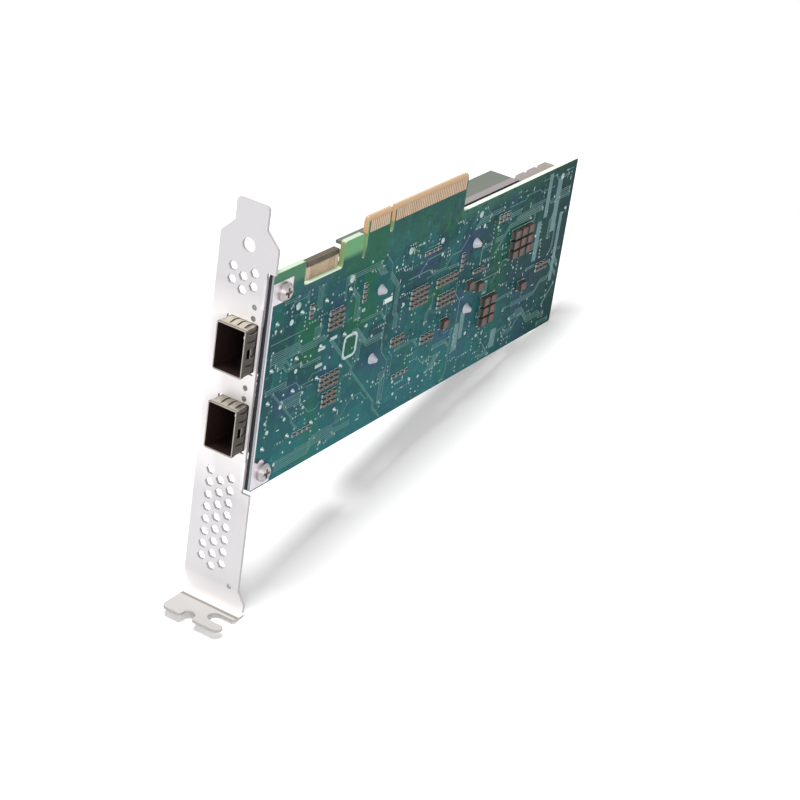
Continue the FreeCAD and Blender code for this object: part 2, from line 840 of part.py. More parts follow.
def choke_bobbin():
    """Moulded bobbin: two flanges joined by a flat post."""
    x0, x1 = choke_span()[:2]
    z0, z1, low, top = bobbin_span()
    wound = winding_thickness
    post = box(x0 + bobbin_flange, x1 - bobbin_flange, low + wound, top - wound,
               z0 + wound, z1 - wound)
    left = box(x0, x0 + bobbin_flange, low, top, z0, z1)
    right = box(x1 - bobbin_flange, x1, low, top, z0, z1)
    return left.fuse([post, right]).removeSplitter()


def choke_winding():
    """Wire wound round the bobbin post, as one solid sleeve."""
    x0, x1 = choke_span()[:2]
    z0, z1, low, top = bobbin_span()
    wound = winding_thickness
    outer = rectangle(low, top, z0, z1, wound / 2)
    inner = rectangle(low + wound, top - wound, z0 + wound, z1 - wound, 0)
    a = x0 + bobbin_flange
    b = x1 - bobbin_flange
    return prism_x(outer, a, b).cut(prism_x(inner, a, b))


def choke_core():
    """Flat ferrite channel: a leg along each side of the bobbin and a plate over it."""
    x0, x1, z0, z1 = choke_span()
    low = component_face
    high = low + choke_height
    roof = high - core_plate
    c = core_chamfer
    section = [(low, z0, 0), (high - c, z0, 0), (high, z0 + c, 0), (high, z1 - c, 0),
               (high - c, z1, 0), (low, z1, 0), (low, z1 - core_leg, 0),
               (roof, z1 - core_leg, 0), (roof, z0 + core_leg, 0), (low, z0 + core_leg, 0)]
    return prism_x(section, x0, x1)


def light_pipes():
    """Two clear mouldings: a block on the board with two pipes to the bracket."""
    mouldings = []
    x0 = bracket_face + light_block_from_bracket
    x1 = x0 + light_block_length
    y = component_face + light_pipe_rise
    for port_z in (upper_port, lower_port):
        places = light_pipe_places(port_z)
        middle = (places[0] + places[1]) / 2
        half = light_block_width / 2
        moulding = box(x0, x1, component_face, component_face + light_block_height,
                       middle - half, middle + half)
        for z in places:
            moulding = moulding.fuse(cylinder_x(y, z, bracket_face, x0, light_pipe_diameter))
        mouldings.append(moulding.removeSplitter())
    return Part.makeCompound(mouldings)


def status_lights():
    """Four side-firing lights behind the light pipe blocks."""
    lights = []
    x0 = bracket_face + light_block_from_bracket + light_block_length
    half = light_chip_size / 2
    for port_z in (upper_port, lower_port):
        for z in light_pipe_places(port_z):
            lights.append(box(x0, x0 + light_chip_size, component_face,
                              component_face + light_chip_height, z - half, z + half))
    return Part.makeCompound(lights)


def on_component_side(x, z, length, width, height):
    """Box on the component face, centred on x and z."""
    return box(x - length / 2, x + length / 2, component_face, component_face + height,
               z - width / 2, z + width / 2)


def on_solder_side(x, z, length, width, height):
    """Box on the solder face, centred on x and z."""
    return box(x - length / 2, x + length / 2, solder_face - height, solder_face,
               z - width / 2, z + width / 2)


def supply_place(column, row):
    """Centre of one place in the supply grid beyond the end of the heat sink."""
    step = inductor_size + inductor_gap
    x = sink_end + sink_end_gap + inductor_size / 2 + column * step
    z = main_edge - inductor_edge_inset - inductor_size / 2 - row * step
    return x, z


def power_inductors():
    """Shielded inductors beside the end of the heat sink."""
    inductors = []
    top = component_face + inductor_height
    for column, row in ((0, 0), (1, 0), (2, 0), (0, 2), (0, 3)):
        x, z = supply_place(column, row)
        outline = chamfered_square(x, z, inductor_size / 2, inductor_chamfer)
        inductors.append(prism_y(outline, component_face, top))
    return Part.makeCompound(inductors)


def voltage_regulators():
    """Flat regulators between the inductors and the capacitors."""
    size = (regulator_size, regulator_size, regulator_height)
    places = [supply_place(1, row) for row in (1, 2, 3)]
    return Part.makeCompound([on_component_side(x, z, *size) for x, z in places])


def polymer_capacitors():
    """Round capacitor cans on square feet, along the free end of the board."""
    cans = []
    size = capacitor_can_diameter
    x = board_end - can_edge_inset - size / 2
    for index in range(can_count):
        z = main_edge - can_top_inset - size / 2 - index * (size + can_gap)
        foot = on_component_side(x, z, size, size, capacitor_foot_height)
        can = cylinder_y(x, z, component_face + capacitor_foot_height,
                         component_face + capacitor_can_height, size)
        cans.append(foot.fuse(can))
    return Part.makeCompound(cans)


def memory_chips():
    """Two eight-lead memory chips near the lower free corner."""
    chips = []
    reach = memory_width / 2 + memory_lead_reach
    z = board_bottom + memory_edge_inset + reach
    half = memory_lead_width / 2
    lead_top = component_face + memory_lead_thickness
    for index in range(2):
        x = sink_end + memory_start + memory_length / 2 + index * (memory_length + memory_gap)
        chip = on_component_side(x, z, memory_length, memory_width, memory_height)
        for lead in range(4):
            lead_x = x + (lead - 1.5) * memory_lead_pitch
            chip = chip.fuse(box(lead_x - half, lead_x + half, component_face, lead_top,
                                 z - reach, z + reach))
        chips.append(chip.removeSplitter())
    return Part.makeCompound(chips)


def oscillator_can():
    """Metal-lidded oscillator near the lower long edge, below the controller chip."""
    z = board_bottom + oscillator_edge_inset + oscillator_width / 2
    return on_component_side(chip_x, z, oscillator_length, oscillator_width, oscillator_height)


def chip_capacitors_component_side():
    """Small ceramic capacitors in rows below the heat sink and behind the cages."""
    parts = []
    size = (small_part_length, small_part_width, small_part_height)
    z = sink_low - decoupling_drop - small_part_width / 2
    for index in range(decoupling_count):
        x = chip_x + oscillator_length + index * (small_part_length + decoupling_gap)
        parts.append(on_component_side(x, z, *size))
    size = (small_part_width, small_part_length, small_part_height)
    x = cage_back + port_capacitor_gap
    for port_z in (upper_port, lower_port):
        for index in range(port_capacitor_count):
            z = port_z + (index - (port_capacitor_count - 1) / 2) * (small_part_length + row_gap)
            parts.append(on_component_side(x, z, *size))
    return Part.makeCompound(parts)


def solder_side_clusters(places, counts, length, width, height):
    """Parts of one size on the solder side, laid out in clusters."""
    parts = []
    for (from_bracket, drop), (columns, rows) in zip(places, counts):
        for row in range(round(rows)):
            for column in range(round(columns)):
                x = bracket_face + from_bracket + column * (length + row_gap)
                z = -drop - row * (width + row_gap)
                parts.append(on_solder_side(x, z, length, width, height))
    return Part.makeCompound(parts)


def chip_capacitors_solder_side():
    """Small ceramic capacitors under the chip, the ports and the regulators."""
    return solder_side_clusters(small_capacitor_places, small_capacitor_counts,
                                small_part_length, small_part_width, small_part_height)


def storage_capacitors_solder_side():
    """Large ceramic capacitors under the supply stages."""
    return solder_side_clusters(large_capacitor_places, large_capacitor_counts,
                                large_part_length, large_part_width, large_part_height)


def chip_resistors_solder_side():
    """Chip resistors, in short rows across the solder side."""
    return solder_side_clusters(resistor_places, resistor_counts, resistor_length,
                                resistor_width, resistor_height)


def build():
    """Every sub-part by name."""
    return {
        "circuit_board": circuit_board(),
        "edge_contacts_solder_side": edge_contacts(solder_face, -1),
        "edge_contacts_component_side": edge_contacts(component_face, 1),
        "bracket": bracket(),
        "bracket_screws": bracket_screws(),
        "upper_port_cage": port_cage(upper_port),
        "lower_port_cage": port_cage(lower_port),
        "upper_port_spring_collar": spring_collar(upper_port),
        "lower_port_spring_collar": spring_collar(lower_port),
        "upper_port_connector": port_connector(upper_port),
        "lower_port_connector": port_connector(lower_port),
        "port_connector_contacts": port_connector_contacts(),
        "controller_chip": controller_chip(),
        "thermal_pad": thermal_pad(),
        "heat_sink": heat_sink(),
        "heat_sink_push_pins": heat_sink_push_pins(),
        "choke_bobbin": choke_bobbin(),
        "choke_winding": choke_winding(),
        "choke_core": choke_core(),
        "light_pipes": light_pipes(),
        "status_lights": status_lights(),
        "power_inductors": power_inductors(),
        "polymer_capacitors": polymer_capacitors(),
        "voltage_regulators": voltage_regulators(),
        "memory_chips": memory_chips(),
        "oscillator_can": oscillator_can(),
        "chip_capacitors_component_side": chip_capacitors_component_side(),
        "chip_capacitors_solder_side": chip_capacitors_solder_side(),
        "storage_capacitors_solder_side": storage_capacitors_solder_side(),
        "chip_resistors_solder_side": chip_resistors_solder_side(),
    }


for name, shape in build().items():
    shape.exportStep(os.path.join("parts", name + ".step"))
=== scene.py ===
"""Looks of the dual-port network interface card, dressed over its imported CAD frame."""
import math
import random

import bpy
from mathutils import Matrix, Vector


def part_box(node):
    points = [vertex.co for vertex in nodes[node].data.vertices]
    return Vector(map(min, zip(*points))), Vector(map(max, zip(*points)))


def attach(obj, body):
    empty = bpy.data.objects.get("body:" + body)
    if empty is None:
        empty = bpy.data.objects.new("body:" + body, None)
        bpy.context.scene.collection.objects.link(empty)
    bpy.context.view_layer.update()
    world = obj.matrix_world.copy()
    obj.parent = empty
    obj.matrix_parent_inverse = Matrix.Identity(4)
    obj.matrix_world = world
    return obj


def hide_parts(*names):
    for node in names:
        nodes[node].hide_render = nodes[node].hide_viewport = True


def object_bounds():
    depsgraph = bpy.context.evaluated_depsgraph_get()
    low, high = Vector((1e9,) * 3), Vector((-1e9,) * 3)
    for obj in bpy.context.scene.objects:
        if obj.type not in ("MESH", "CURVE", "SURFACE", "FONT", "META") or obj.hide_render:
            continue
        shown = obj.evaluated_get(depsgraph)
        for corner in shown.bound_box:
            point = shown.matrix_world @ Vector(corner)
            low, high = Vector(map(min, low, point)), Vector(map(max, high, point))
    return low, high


MM = 0.001
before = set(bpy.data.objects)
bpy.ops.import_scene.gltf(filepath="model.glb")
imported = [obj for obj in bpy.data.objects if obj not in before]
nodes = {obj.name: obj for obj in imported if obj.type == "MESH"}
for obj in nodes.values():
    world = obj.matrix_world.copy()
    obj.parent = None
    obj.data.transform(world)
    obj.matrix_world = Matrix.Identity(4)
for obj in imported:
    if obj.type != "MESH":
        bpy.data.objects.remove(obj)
cad_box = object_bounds()
rng = random.Random(7)

board_low, board_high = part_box("circuit_board")
bracket_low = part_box("bracket")[0]
gold_low, gold_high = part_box("edge_contacts_solder_side")
PORT_CAGES = ["upper_port_cage", "lower_port_cage"]
SOLDER = board_low.y          # board face that the camera sees
COMPONENT = board_high.y      # board face with the large parts

# In millimetres.
PLATE_AHEAD = 1.3             # from the board's near end to the bracket's front face
END_STRIP = 6.0               # stretch at the board's far end where its upper edge is read
TRACK_RISE, PRINT_RISE, LAND_RISE, VIA_RISE = 0.018, 0.03, 0.04, 0.045     # above a board face
bracket_front = max(bracket_low.x, board_low.x - PLATE_AHEAD * MM) / MM
MAIN_EDGE = max(v.co.z for v in nodes["circuit_board"].data.vertices
                if v.co.x > board_high.x - END_STRIP * MM) / MM


# ---- camera, floor, light

def make_camera():
    """The photograph's viewing angle: standing to the left of the card, looking down."""
    data = bpy.data.cameras.new("view_camera")
    data.lens = 99.7
    data.sensor_width = 36.0
    data.clip_start = 0.01
    data.clip_end = 20.0
    camera = bpy.data.objects.new("view_camera", data)
    bpy.context.scene.collection.objects.link(camera)
    place = Vector((-0.49453, -0.28625, 0.22081))
    yaw, pitch, roll = math.radians(29.061), math.radians(-26.072), math.radians(8.618)
    aim = Vector((math.cos(yaw) * math.cos(pitch), math.sin(yaw) * math.cos(pitch), math.sin(pitch)))
    turn = aim.to_track_quat("-Z", "Y").to_matrix() @ Matrix.Rotation(roll, 3, "Z")
    camera.matrix_world = Matrix.Translation(place) @ turn.to_4x4()
    bpy.context.scene.camera = camera


def resting_slope():
    """Slope of the floor: the card stands on its bracket bend and its far lower corner."""
    corner = Vector((board_high.x, 0, board_low.z))
    return max((corner.z - v.co.z) / (corner.x - v.co.x) for v in nodes["bracket"].data.vertices)


def make_floor(slope):
    """White floor, on which only the card's shadow shows. Returns its upward direction."""
    near, far, front, back = -0.55, 0.10, -0.32, 0.36      # metres from the far lower corner
    gap = 0.05 * MM
    tone, glow = 0.88, 0.12                                # together they are white
    normal = Vector((-slope, 0, 1)).normalized()
    along = Vector((1, 0, slope)).normalized()
    across = normal.cross(along)
    corner = Vector((board_high.x, 0, board_low.z)) - normal * gap
    ends = [(near, front), (far, front), (far, back), (near, back)]
    mesh = bpy.data.meshes.new("floor")
    mesh.from_pydata([corner + along * a + across * b for a, b in ends], [], [(0, 1, 2, 3)])
    floor = bpy.data.objects.new("floor", mesh)
    bpy.context.scene.collection.objects.link(floor)
    m, t = new_material("floor_white")
    path = add(t, "LightPath").outputs
    seen = math_node(t, "MAXIMUM", path["Is Camera Ray"], path["Is Glossy Ray"])
    glowing = add(t, "Emission", Color=(1, 1, 1, 1), Strength=times(t, seen, glow))
    diffuse = add(t, "BsdfDiffuse", Color=(tone, tone, tone, 1))
    both = add(t, "AddShader", i0=diffuse.outputs[0], i1=glowing.outputs[0])
    add(t, "OutputMaterial", Surface=both.outputs[0])
    mesh.materials.append(m)
    return normal


def make_lights(up):
    """Plain, soft, near-white light: from all round, from a lamp overhead and from one in front."""
    world = bpy.data.worlds.new("studio")
    bpy.context.scene.world = world
    t = cleared(world)
    path = add(t, "LightPath").outputs
    seen = math_node(t, "MAXIMUM", path["Is Camera Ray"], path["Is Transmission Ray"])
    seen = math_node(t, "MAXIMUM", seen, path["Is Glossy Ray"])
    soft = add(t, "Background", Color=(1, 1, 1, 1), Strength=0.36)
    white = add(t, "Background", Color=(1, 1, 1, 1), Strength=1.0)
    mix = add(t, "MixShader", i0=seen, i1=soft.outputs[0], i2=white.outputs[0])
    add(t, "OutputWorld", Surface=mix.outputs[0])
    centre = (cad_box[0] + cad_box[1]) / 2

    def lamp(name, direction, distance, size, watts):
        data = bpy.data.lights.new(name, "AREA")
        data.shape = "DISK"
        data.size = size
        data.energy = watts
        light = bpy.data.objects.new(name, data)
        bpy.context.scene.collection.objects.link(light)
        towards = direction.normalized()
        light.location = centre + towards * distance
        light.rotation_mode = "QUATERNION"
        light.rotation_quaternion = towards.to_track_quat("Z", "Y")

    lamp("overhead", up + Vector((-0.05, 0.10, 0)), distance=0.85, size=0.28, watts=7.4)
    lamp("front_fill", Vector((-1.0, -0.8, 0.35)), distance=0.9, size=0.6, watts=3.8)


# ---- material helpers

def cleared(owner):
    """Empty node tree of a material or world."""
    owner.use_nodes = True
    owner.node_tree.nodes.clear()
    return owner.node_tree


def new_material(name):
    """A material and its empty node tree."""
    m = bpy.data.materials.new(name)
    return m, cleared(m)


def add(tree, kind, settings=None, **inputs):
    """One shader node. A key i0, i1... names an input by its place, another by its name."""
    n = tree.nodes.new("ShaderNode" + kind)
    for key, value in (settings or {}).items():
        setattr(n, key, value)
    for key, value in inputs.items():
        place = int(key[1:]) if key[0] == "i" and key[1:].isdigit() else key.replace("_", " ")
        if isinstance(value, bpy.types.NodeSocket):
            tree.links.new(value, n.inputs[place])
        else:
            n.inputs[place].default_value = value
    return n


def srgb(r, g, b):
    """Linear colour from the usual 0-255 values."""
    def one(c):
        c = c / 255
        return c / 12.92 if c <= 0.04045 else ((c + 0.055) / 1.055) ** 2.4
    return (one(r), one(g), one(b), 1.0)


def blend(tree, factor, a, b):
    """Mix of two colours, each a socket, four linear values or three usual ones of 0-255."""
    a, b = [srgb(*c) if isinstance(c, tuple) and len(c) == 3 else c for c in (a, b)]
    return add(tree, "Mix", {"data_type": "RGBA"}, i0=factor, i6=a, i7=b).outputs[2]


def layered(tree, base, *layers):
    """Lays further colours over a first one, each with its own factor."""
    for factor, colour in layers:
        base = blend(tree, factor, base, colour)
    return base


def math_node(tree, operation, *values):
    return add(tree, "Math", {"operation": operation},
               **{f"i{k}": v for k, v in enumerate(values)}).outputs[0]


def times(tree, product, *factors):
    """Product of all the values."""
    for factor in factors:
        product = math_node(tree, "MULTIPLY", product, factor)
    return product


def above(tree, value, limit):
    """1 where the value is over the limit, otherwise 0."""
    return math_node(tree, "GREATER_THAN", value, limit)


def below(tree, value, limit):
    """1 where the value is under the limit, otherwise 0."""
    return math_node(tree, "LESS_THAN", value, limit)


def ramp(tree, value, low, high):
    """0 at low and before it, 1 at high and past it."""
    return add(tree, "MapRange", {"clamp": True}, i0=value, i1=low, i2=high).outputs[0]


def band(tree, value, origin, low, high):
    """A ramp with its ends in millimetres from the origin."""
    return ramp(tree, value, origin + low * MM, origin + high * MM)


def noise(tree, place, scale, detail=3.0, rough=0.55):
    return add(tree, "TexNoise", Vector=place, Scale=scale, Detail=detail,
               Roughness=rough).outputs["Fac"]


def stretched(tree, place, x, y, z):
    return add(tree, "Mapping", Vector=place, Scale=(x, y, z)).outputs[0]


def position(tree):
    """X, Y and Z of the place on the card."""
    return add(tree, "SeparateXYZ", i0=add(tree, "TexCoord").outputs["Object"]).outputs


def facing(tree):
    """X, Y and Z of the direction that the surface faces."""
    return add(tree, "SeparateXYZ", i0=add(tree, "NewGeometry").outputs["Normal"]).outputs


def surface(name, colour, second, grain, rough, metal=0.0, bump=0.0, bump_scale=None,
            stretch=(1, 1, 1), spots=None, **extra):
    """A finish: two tones of one colour, uneven gloss and fine relief, all from noise."""
    m, t = new_material(name)
    place = stretched(t, add(t, "TexCoord").outputs["Object"], *stretch)
    fine = noise(t, place, bump_scale or grain * 6, 4.0, 0.6)
    tone = blend(t, ramp(t, noise(t, place, grain), 0.3, 0.7), colour, second)
    if spots:
        tone = blend(t, ramp(t, noise(t, place, grain * 5, 2.0), 0.62, 0.68), tone, spots)
    gloss = add(t, "MapRange", i0=fine, i1=0.25, i2=0.75, i3=rough[0], i4=rough[1]).outputs[0]
    if bump:
        extra["Normal"] = add(t, "Bump", Height=fine, Strength=bump, Distance=0.0001).outputs[0]
    shader = add(t, "BsdfPrincipled", Base_Color=tone, Roughness=gloss, Metallic=metal, **extra)
    add(t, "OutputMaterial", Surface=shader.outputs[0])
    return m


def recolour(m, *layers):
    """Lays further colours over a finish."""
    t = m.node_tree
    shader = next(n for n in t.nodes if n.type == "BSDF_PRINCIPLED")
    base = shader.inputs["Base Color"].links[0].from_socket
    t.links.new(layered(t, base, *layers), shader.inputs["Base Color"])


# ---- finishes

def board_material():
    """Solder mask on both faces, pale laminate on the cut edges, greener where no copper lies. Painted
    shade: dark specks, darker notch walls below the contacts and a dark end face by the bracket.
    """
    m, t = new_material("solder_mask")
    place = add(t, "TexCoord").outputs["Object"]
    plan = stretched(t, place, 1, 0, 1)
    x, y, z = position(t)
    normal = facing(t)
    on_face = above(t, math_node(t, "ABSOLUTE", normal[1]), 0.6)
    on_main = above(t, x, gold_high.x)
    pour = add(t, "TexVoronoi", {"feature": "F1", "distance": "CHEBYCHEV"},
               Vector=plan, Scale=95.0).outputs["Color"]
    zone = ramp(t, add(t, "SeparateXYZ", i0=pour).outputs[0], 0.42, 0.58)
    soft = noise(t, place, 110.0, 5.0, 0.7)
    grain = noise(t, plan, 420.0, 2.0)
    patch = noise(t, plan, 52.0, 2.0, 0.6)
    weave = add(t, "TexWave", {"wave_type": "BANDS", "bands_direction": "DIAGONAL"},
                Vector=place, Scale=900.0, Distortion=1.0).outputs["Fac"]
    top_share = math_node(t, "MULTIPLY_ADD", on_main, 0.45, 0.3)
    near_top = times(t, band(t, z, MAIN_EDGE * MM, -4.5, -1.0), top_share)
    far_end = band(t, x, board_high.x, -60.0, -5.0)
    far_half = band(t, x, board_high.x, -110.0, -50.0)
    far_rim = band(t, x, board_high.x, -1.6, -0.6)
    # Painted shade: dark specks, strongest over the far half, stand in for the small shadows that the
    # parts cast.
    painted_shadow_specks = times(t, ramp(t, grain, 0.41, 0.35), math_node(t, "MULTIPLY_ADD", far_half, 0.6, 0.15))
    low_part = times(t, band(t, z, board_low.z, 30.0, 8.0), math_node(t, "SUBTRACT", 1.0, far_end))
    bare = times(t, band(t, z, MAIN_EDGE * MM, 1.6, 3.4), below(t, x, gold_low.x - 0.6 * MM))
    green = blend(t, below(t, x, board_low.x + 20.0 * MM), (114, 172, 122), (80, 130, 100))
    mask = layered(t, blend(t, zone, (2, 68, 72), (16, 89, 90)),
                   (ramp(t, soft, 0.4, 0.75), (26, 56, 68)),
                   (times(t, ramp(t, grain, 0.60, 0.66), 0.35), (76, 128, 122)),
                   (times(t, weave, 0.06), (96, 150, 140)),
                   (times(t, ramp(t, patch, 0.55, 0.62), 0.7), (16, 92, 58)),
                   (times(t, ramp(t, patch, 0.43, 0.36), 0.65), (46, 62, 98)),
                   (near_top, (58, 108, 88)),
                   (times(t, far_end, 0.8), (0, 48, 50)),
                   (painted_shadow_specks, (0, 28, 28)),
                   (times(t, low_part, 0.42), (38, 112, 118)),
                   (times(t, far_rim, 0.6), (20, 34, 38)),
                   (times(t, bare, 0.85), green))
    layers = add(t, "TexWave", {"wave_type": "BANDS", "bands_direction": "Y"},
                 Vector=place, Scale=620.0, Distortion=0.3).outputs["Fac"]
    # Painted shade: the notch's cut walls below the contacts get a darker olive; beside the contacts they
    # are tan.
    notch = times(t, above(t, math_node(t, "ABSOLUTE", normal[0]), 0.6), below(t, x, gold_high.x))
    wall = blend(t, above(t, z, gold_low.z), (128, 150, 108), (196, 158, 120))
    # Painted shade: the board's end face at the bracket is dark grey, as the shade in the gap between
    # board and bracket, with a pale strip at its solder-side corner.
    by_bracket = times(t, below(t, normal[0], -0.7), below(t, x, board_low.x + 1.0 * MM))
    rim = blend(t, below(t, y, SOLDER + 0.6 * MM), (58, 54, 60), (164, 172, 178))
    edge = layered(t, blend(t, on_main, (180, 200, 176), (226, 236, 222)),
                   (times(t, layers, 0.3), (196, 210, 184)), (notch, wall), (by_bracket, rim))
    tip = blend(t, layers, (200, 172, 140), (186, 154, 122))
    colour = layered(t, edge, (on_face, mask), (above(t, z, gold_high.z), tip))
    rough = blend(t, on_face, (0.7, 0.7, 0.7, 1), (0.5, 0.5, 0.5, 1))
    relief = add(t, "Bump", Height=math_node(t, "ADD", zone, times(t, weave, 0.2)),
                 Strength=0.25, Distance=0.00004)
    shader = add(t, "BsdfPrincipled", Base_Color=colour, Roughness=rough, Normal=relief.outputs[0],
                 Specular_IOR_Level=0.07)
    add(t, "OutputMaterial", Surface=shader.outputs[0])
    return m


def bracket_material():
    """Bright zinc-plated steel with painted shade: greyer above the ports, round the vents and on the
    foot tab, and a dark painted shadow line past the bend; grey cut edges.
    """
    m = surface("bracket_steel", (250, 246, 246), (243, 239, 240), 60, (0.42, 0.56), 0.3,
                0.1, 2600, (1, 1, 0.06))
    t = m.node_tree
    x, _, z = position(t)
    normal = facing(t)
    side, foot = bracket_low.x, bracket_low.z
    ports_low, ports_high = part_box("lower_port_cage")[0].z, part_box("upper_port_cage")[1].z
    # Painted shade: the plate above the upper port, the plate round the vents and the whole foot tab are
    # greyer than the plate between the ports.
    top = band(t, z, ports_high, -1.0, 9.0)
    vents = times(t, band(t, z, ports_low, -1.0, -16.0), band(t, z, foot, 2.0, 8.0))
    tab = band(t, x, side, 9.8, 8.2)
    cut = below(t, math_node(t, "ABSOLUTE", normal[0]), 0.55)
    holes = times(t, cut, below(t, x, board_low.x), above(t, z, foot + 1.6 * MM))
    upright = below(t, math_node(t, "ABSOLUTE", normal[2]), 0.5)
    rim = times(t, below(t, z, foot + 0.95 * MM), upright)
    # Painted shadow: a dark line on the tab's upper face just past the bend.
    line = times(t, band(t, x, side, 8.4, 9.0), band(t, x, side, 10.3, 9.7))
    painted_bend_shadow = times(t, above(t, normal[2], 0.7), line, below(t, z, foot + 1.2 * MM))
    grey = (208, 206, 208)
    recolour(m, (top, grey), (tab, (190, 187, 184)), (vents, grey), (holes, (176, 172, 175)),
             (rim, (166, 163, 158)), (painted_bend_shadow, (140, 136, 128)))
    return m


def sink_material():
    """Anodised aluminium: a warm grey base plate and cooler, slightly green fins."""
    m = surface("heat_sink_metal", (91, 100, 88), (108, 115, 104), 70, (0.36, 0.5), 0.5,
                0.2, 2400, (0.04, 1, 1))
    t = m.node_tree
    base_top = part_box("heat_sink")[0].y + 2.6 * MM
    recolour(m, (band(t, position(t)[1], base_top, 0.2, -0.2), (150, 141, 142)))
    return m


def painted_light_shade_sheet(name, colour, second, side, top, metal):
    """Sheet metal with painted light and shade: walls that face -Y get a darker painted-shade colour,
    tops that face up get a lighter painted-light colour.
    """
    m = surface(name, colour, second, 200, (0.35, 0.5), metal, 0.12, 1600, (0.2, 1, 1))
    t = m.node_tree
    normal = facing(t)
    # Painted shade on walls facing -Y, painted light on tops facing up.
    recolour(m, (ramp(t, normal[1], -0.3, -0.8), side), (ramp(t, normal[2], 0.4, 0.9), top))
    return m


def cage_material():
    """Tinned sheet with painted light and shade: lighter tops, darker walls facing -Y, and dark painted
    shade inside the two ports.
    """
    m = painted_light_shade_sheet("cage_tin", (186, 181, 174), (168, 162, 156), (84, 78, 74), (168, 162, 152), 0.6)
    t = m.node_tree
    x, y, z = position(t)
    wall, lip, floor = 0.15 * MM, 0.35 * MM, COMPONENT + 1.2 * MM
    painted_port_shade = []
    for cage in PORT_CAGES:
        low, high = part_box(cage)
        painted_port_shade.append(times(t, above(t, x, low.x + lip), above(t, y, floor + wall),
                             below(t, y, high.y - wall), above(t, z, low.z + wall),
                             below(t, z, high.z - wall)))
    # Painted shade: everything inside the two ports is coloured dark brown.
    recolour(m, (math_node(t, "MAXIMUM", *painted_port_shade), (58, 42, 38)))
    return m


FINISH = {
    "mask": board_material(),
    "bracket": bracket_material(),
    "sink": sink_material(),
    "cage": cage_material(),
    # The collar's third colour is painted shade on its walls facing -Y; its fourth is painted light on
    # its tops.
    "collar": painted_light_shade_sheet("collar_metal", (132, 124, 114), (104, 97, 90), (68, 62, 57),
                              (184, 176, 160), 0.6),
}

# The plain finishes: a key for FINISH, then what surface() takes.
PLAIN = (
    ("gold", "gold_plate", (206, 176, 147), (192, 160, 130), 300, (0.3, 0.46), 0.75, 0.15, 4000,
     (1, 1, 0.08)),
    ("screw", "nickel_screw", (184, 178, 178), (156, 150, 150), 500, (0.25, 0.42), 1.0, 0.1),
    ("black", "black_plastic", (30, 27, 26), (42, 38, 36), 200, (0.4, 0.6), 0, 0.3, 3000),
    ("chip", "chip_epoxy", (42, 42, 44), (54, 54, 56), 260, (0.5, 0.7), 0, 0.35, 5000,
     (1, 1, 1), (60, 60, 62)),
    ("pad", "thermal_pad", (170, 150, 170), (186, 168, 182), 200, (0.7, 0.9), 0, 0.3),
    ("pin", "push_pin_nylon", (190, 190, 198), (168, 168, 178), 160, (0.42, 0.56), 0, 0.1),
    # Painted shade for the hollow middle of the push pin heads.
    ("pin_hole", "push_pin_hole", (96, 96, 102), (80, 80, 86), 300, (0.5, 0.7)),
    ("bobbin", "bobbin_nylon", (206, 186, 160), (190, 168, 142), 150, (0.45, 0.6), 0, 0.15),
    ("wire", "covered_wire", (190, 170, 138), (168, 146, 122), 260, (0.5, 0.65), 0, 0.2, 2500),
    ("ferrite", "ferrite", (84, 76, 62), (66, 60, 48), 260, (0.55, 0.75), 0, 0.4, 2600,
     (1, 1, 1), (104, 96, 80)),
    ("light", "light_body", (236, 234, 222), (222, 224, 196), 900, (0.35, 0.5), 0, 0.05),
    ("inductor", "inductor_powder", (150, 141, 136), (138, 130, 126), 500, (0.6, 0.8), 0, 0.3, 5200),
    ("can", "capacitor_aluminium", (206, 208, 210), (188, 190, 194), 160, (0.2, 0.34), 1.0, 0.08, 2500),
    ("tin", "tinned_end", (112, 108, 101), (94, 91, 86), 700, (0.4, 0.55), 0.45, 0.25, 2600),
    # Ends and fillets of the storage capacitors: a dark grey, darker than the tinned ends.
    ("dull_end", "dull_plated_end", (66, 66, 60), (48, 52, 48), 700, (0.4, 0.55), 0.2, 0.25, 2600),
    ("ceramic", "ceramic_tan", (100, 88, 80), (86, 78, 72), 500, (0.45, 0.62), 0, 0.2),
    ("ceramic_dark", "ceramic_brown", (104, 70, 62), (72, 50, 48), 420, (0.45, 0.6), 0, 0.2),
    ("resistor", "resistor_glaze", (38, 38, 40), (50, 50, 54), 500, (0.3, 0.45), 0, 0.1),
    ("plated", "plated_copper", (222, 214, 220), (200, 194, 202), 260, (0.3, 0.46), 0.6, 0.2, 1500),
    ("joint", "solder_joint", (176, 194, 194), (150, 172, 172), 900, (0.25, 0.42), 0.5, 0.2, 3000),
    ("pour", "wide_masked_copper", (76, 122, 124), (56, 102, 106), 260, (0.4, 0.5), 0, 0.1),
    ("silk", "silk_ink", (226, 232, 230), (206, 216, 214), 1500, (0.55, 0.7), 0, 0.3, 8000),
    ("track", "masked_copper", (62, 122, 116), (52, 110, 106), 400, (0.3, 0.42), 0, 0.1),
    ("solder", "solder", (162, 162, 158), (138, 138, 136), 900, (0.28, 0.42), 0.7, 0.2, 3000),
    ("spring", "spring_steel", (150, 150, 154), (120, 120, 126), 600, (0.22, 0.36), 1.0, 0.05),
    ("mark", "can_print", (40, 40, 46), (54, 54, 60), 500, (0.45, 0.6)),
    ("dimple", "package_dimple", (88, 88, 90), (70, 70, 74), 900, (0.25, 0.4)),
    ("ceramic_rim", "ceramic_rim", (196, 178, 130), (170, 152, 108), 500, (0.35, 0.5), 0.3),
    ("dark", "hole_shadow", (22, 26, 26), (30, 34, 34), 400, (0.7, 0.8)),
)
for finish, *look in PLAIN:
    FINISH[finish] = surface(*look)
FINISH["clear"] = surface("clear_acrylic", (236, 240, 238), (226, 232, 230), 120, (0.08, 0.16), 0, 0.03,
                          Transmission_Weight=0.85, IOR=1.49)

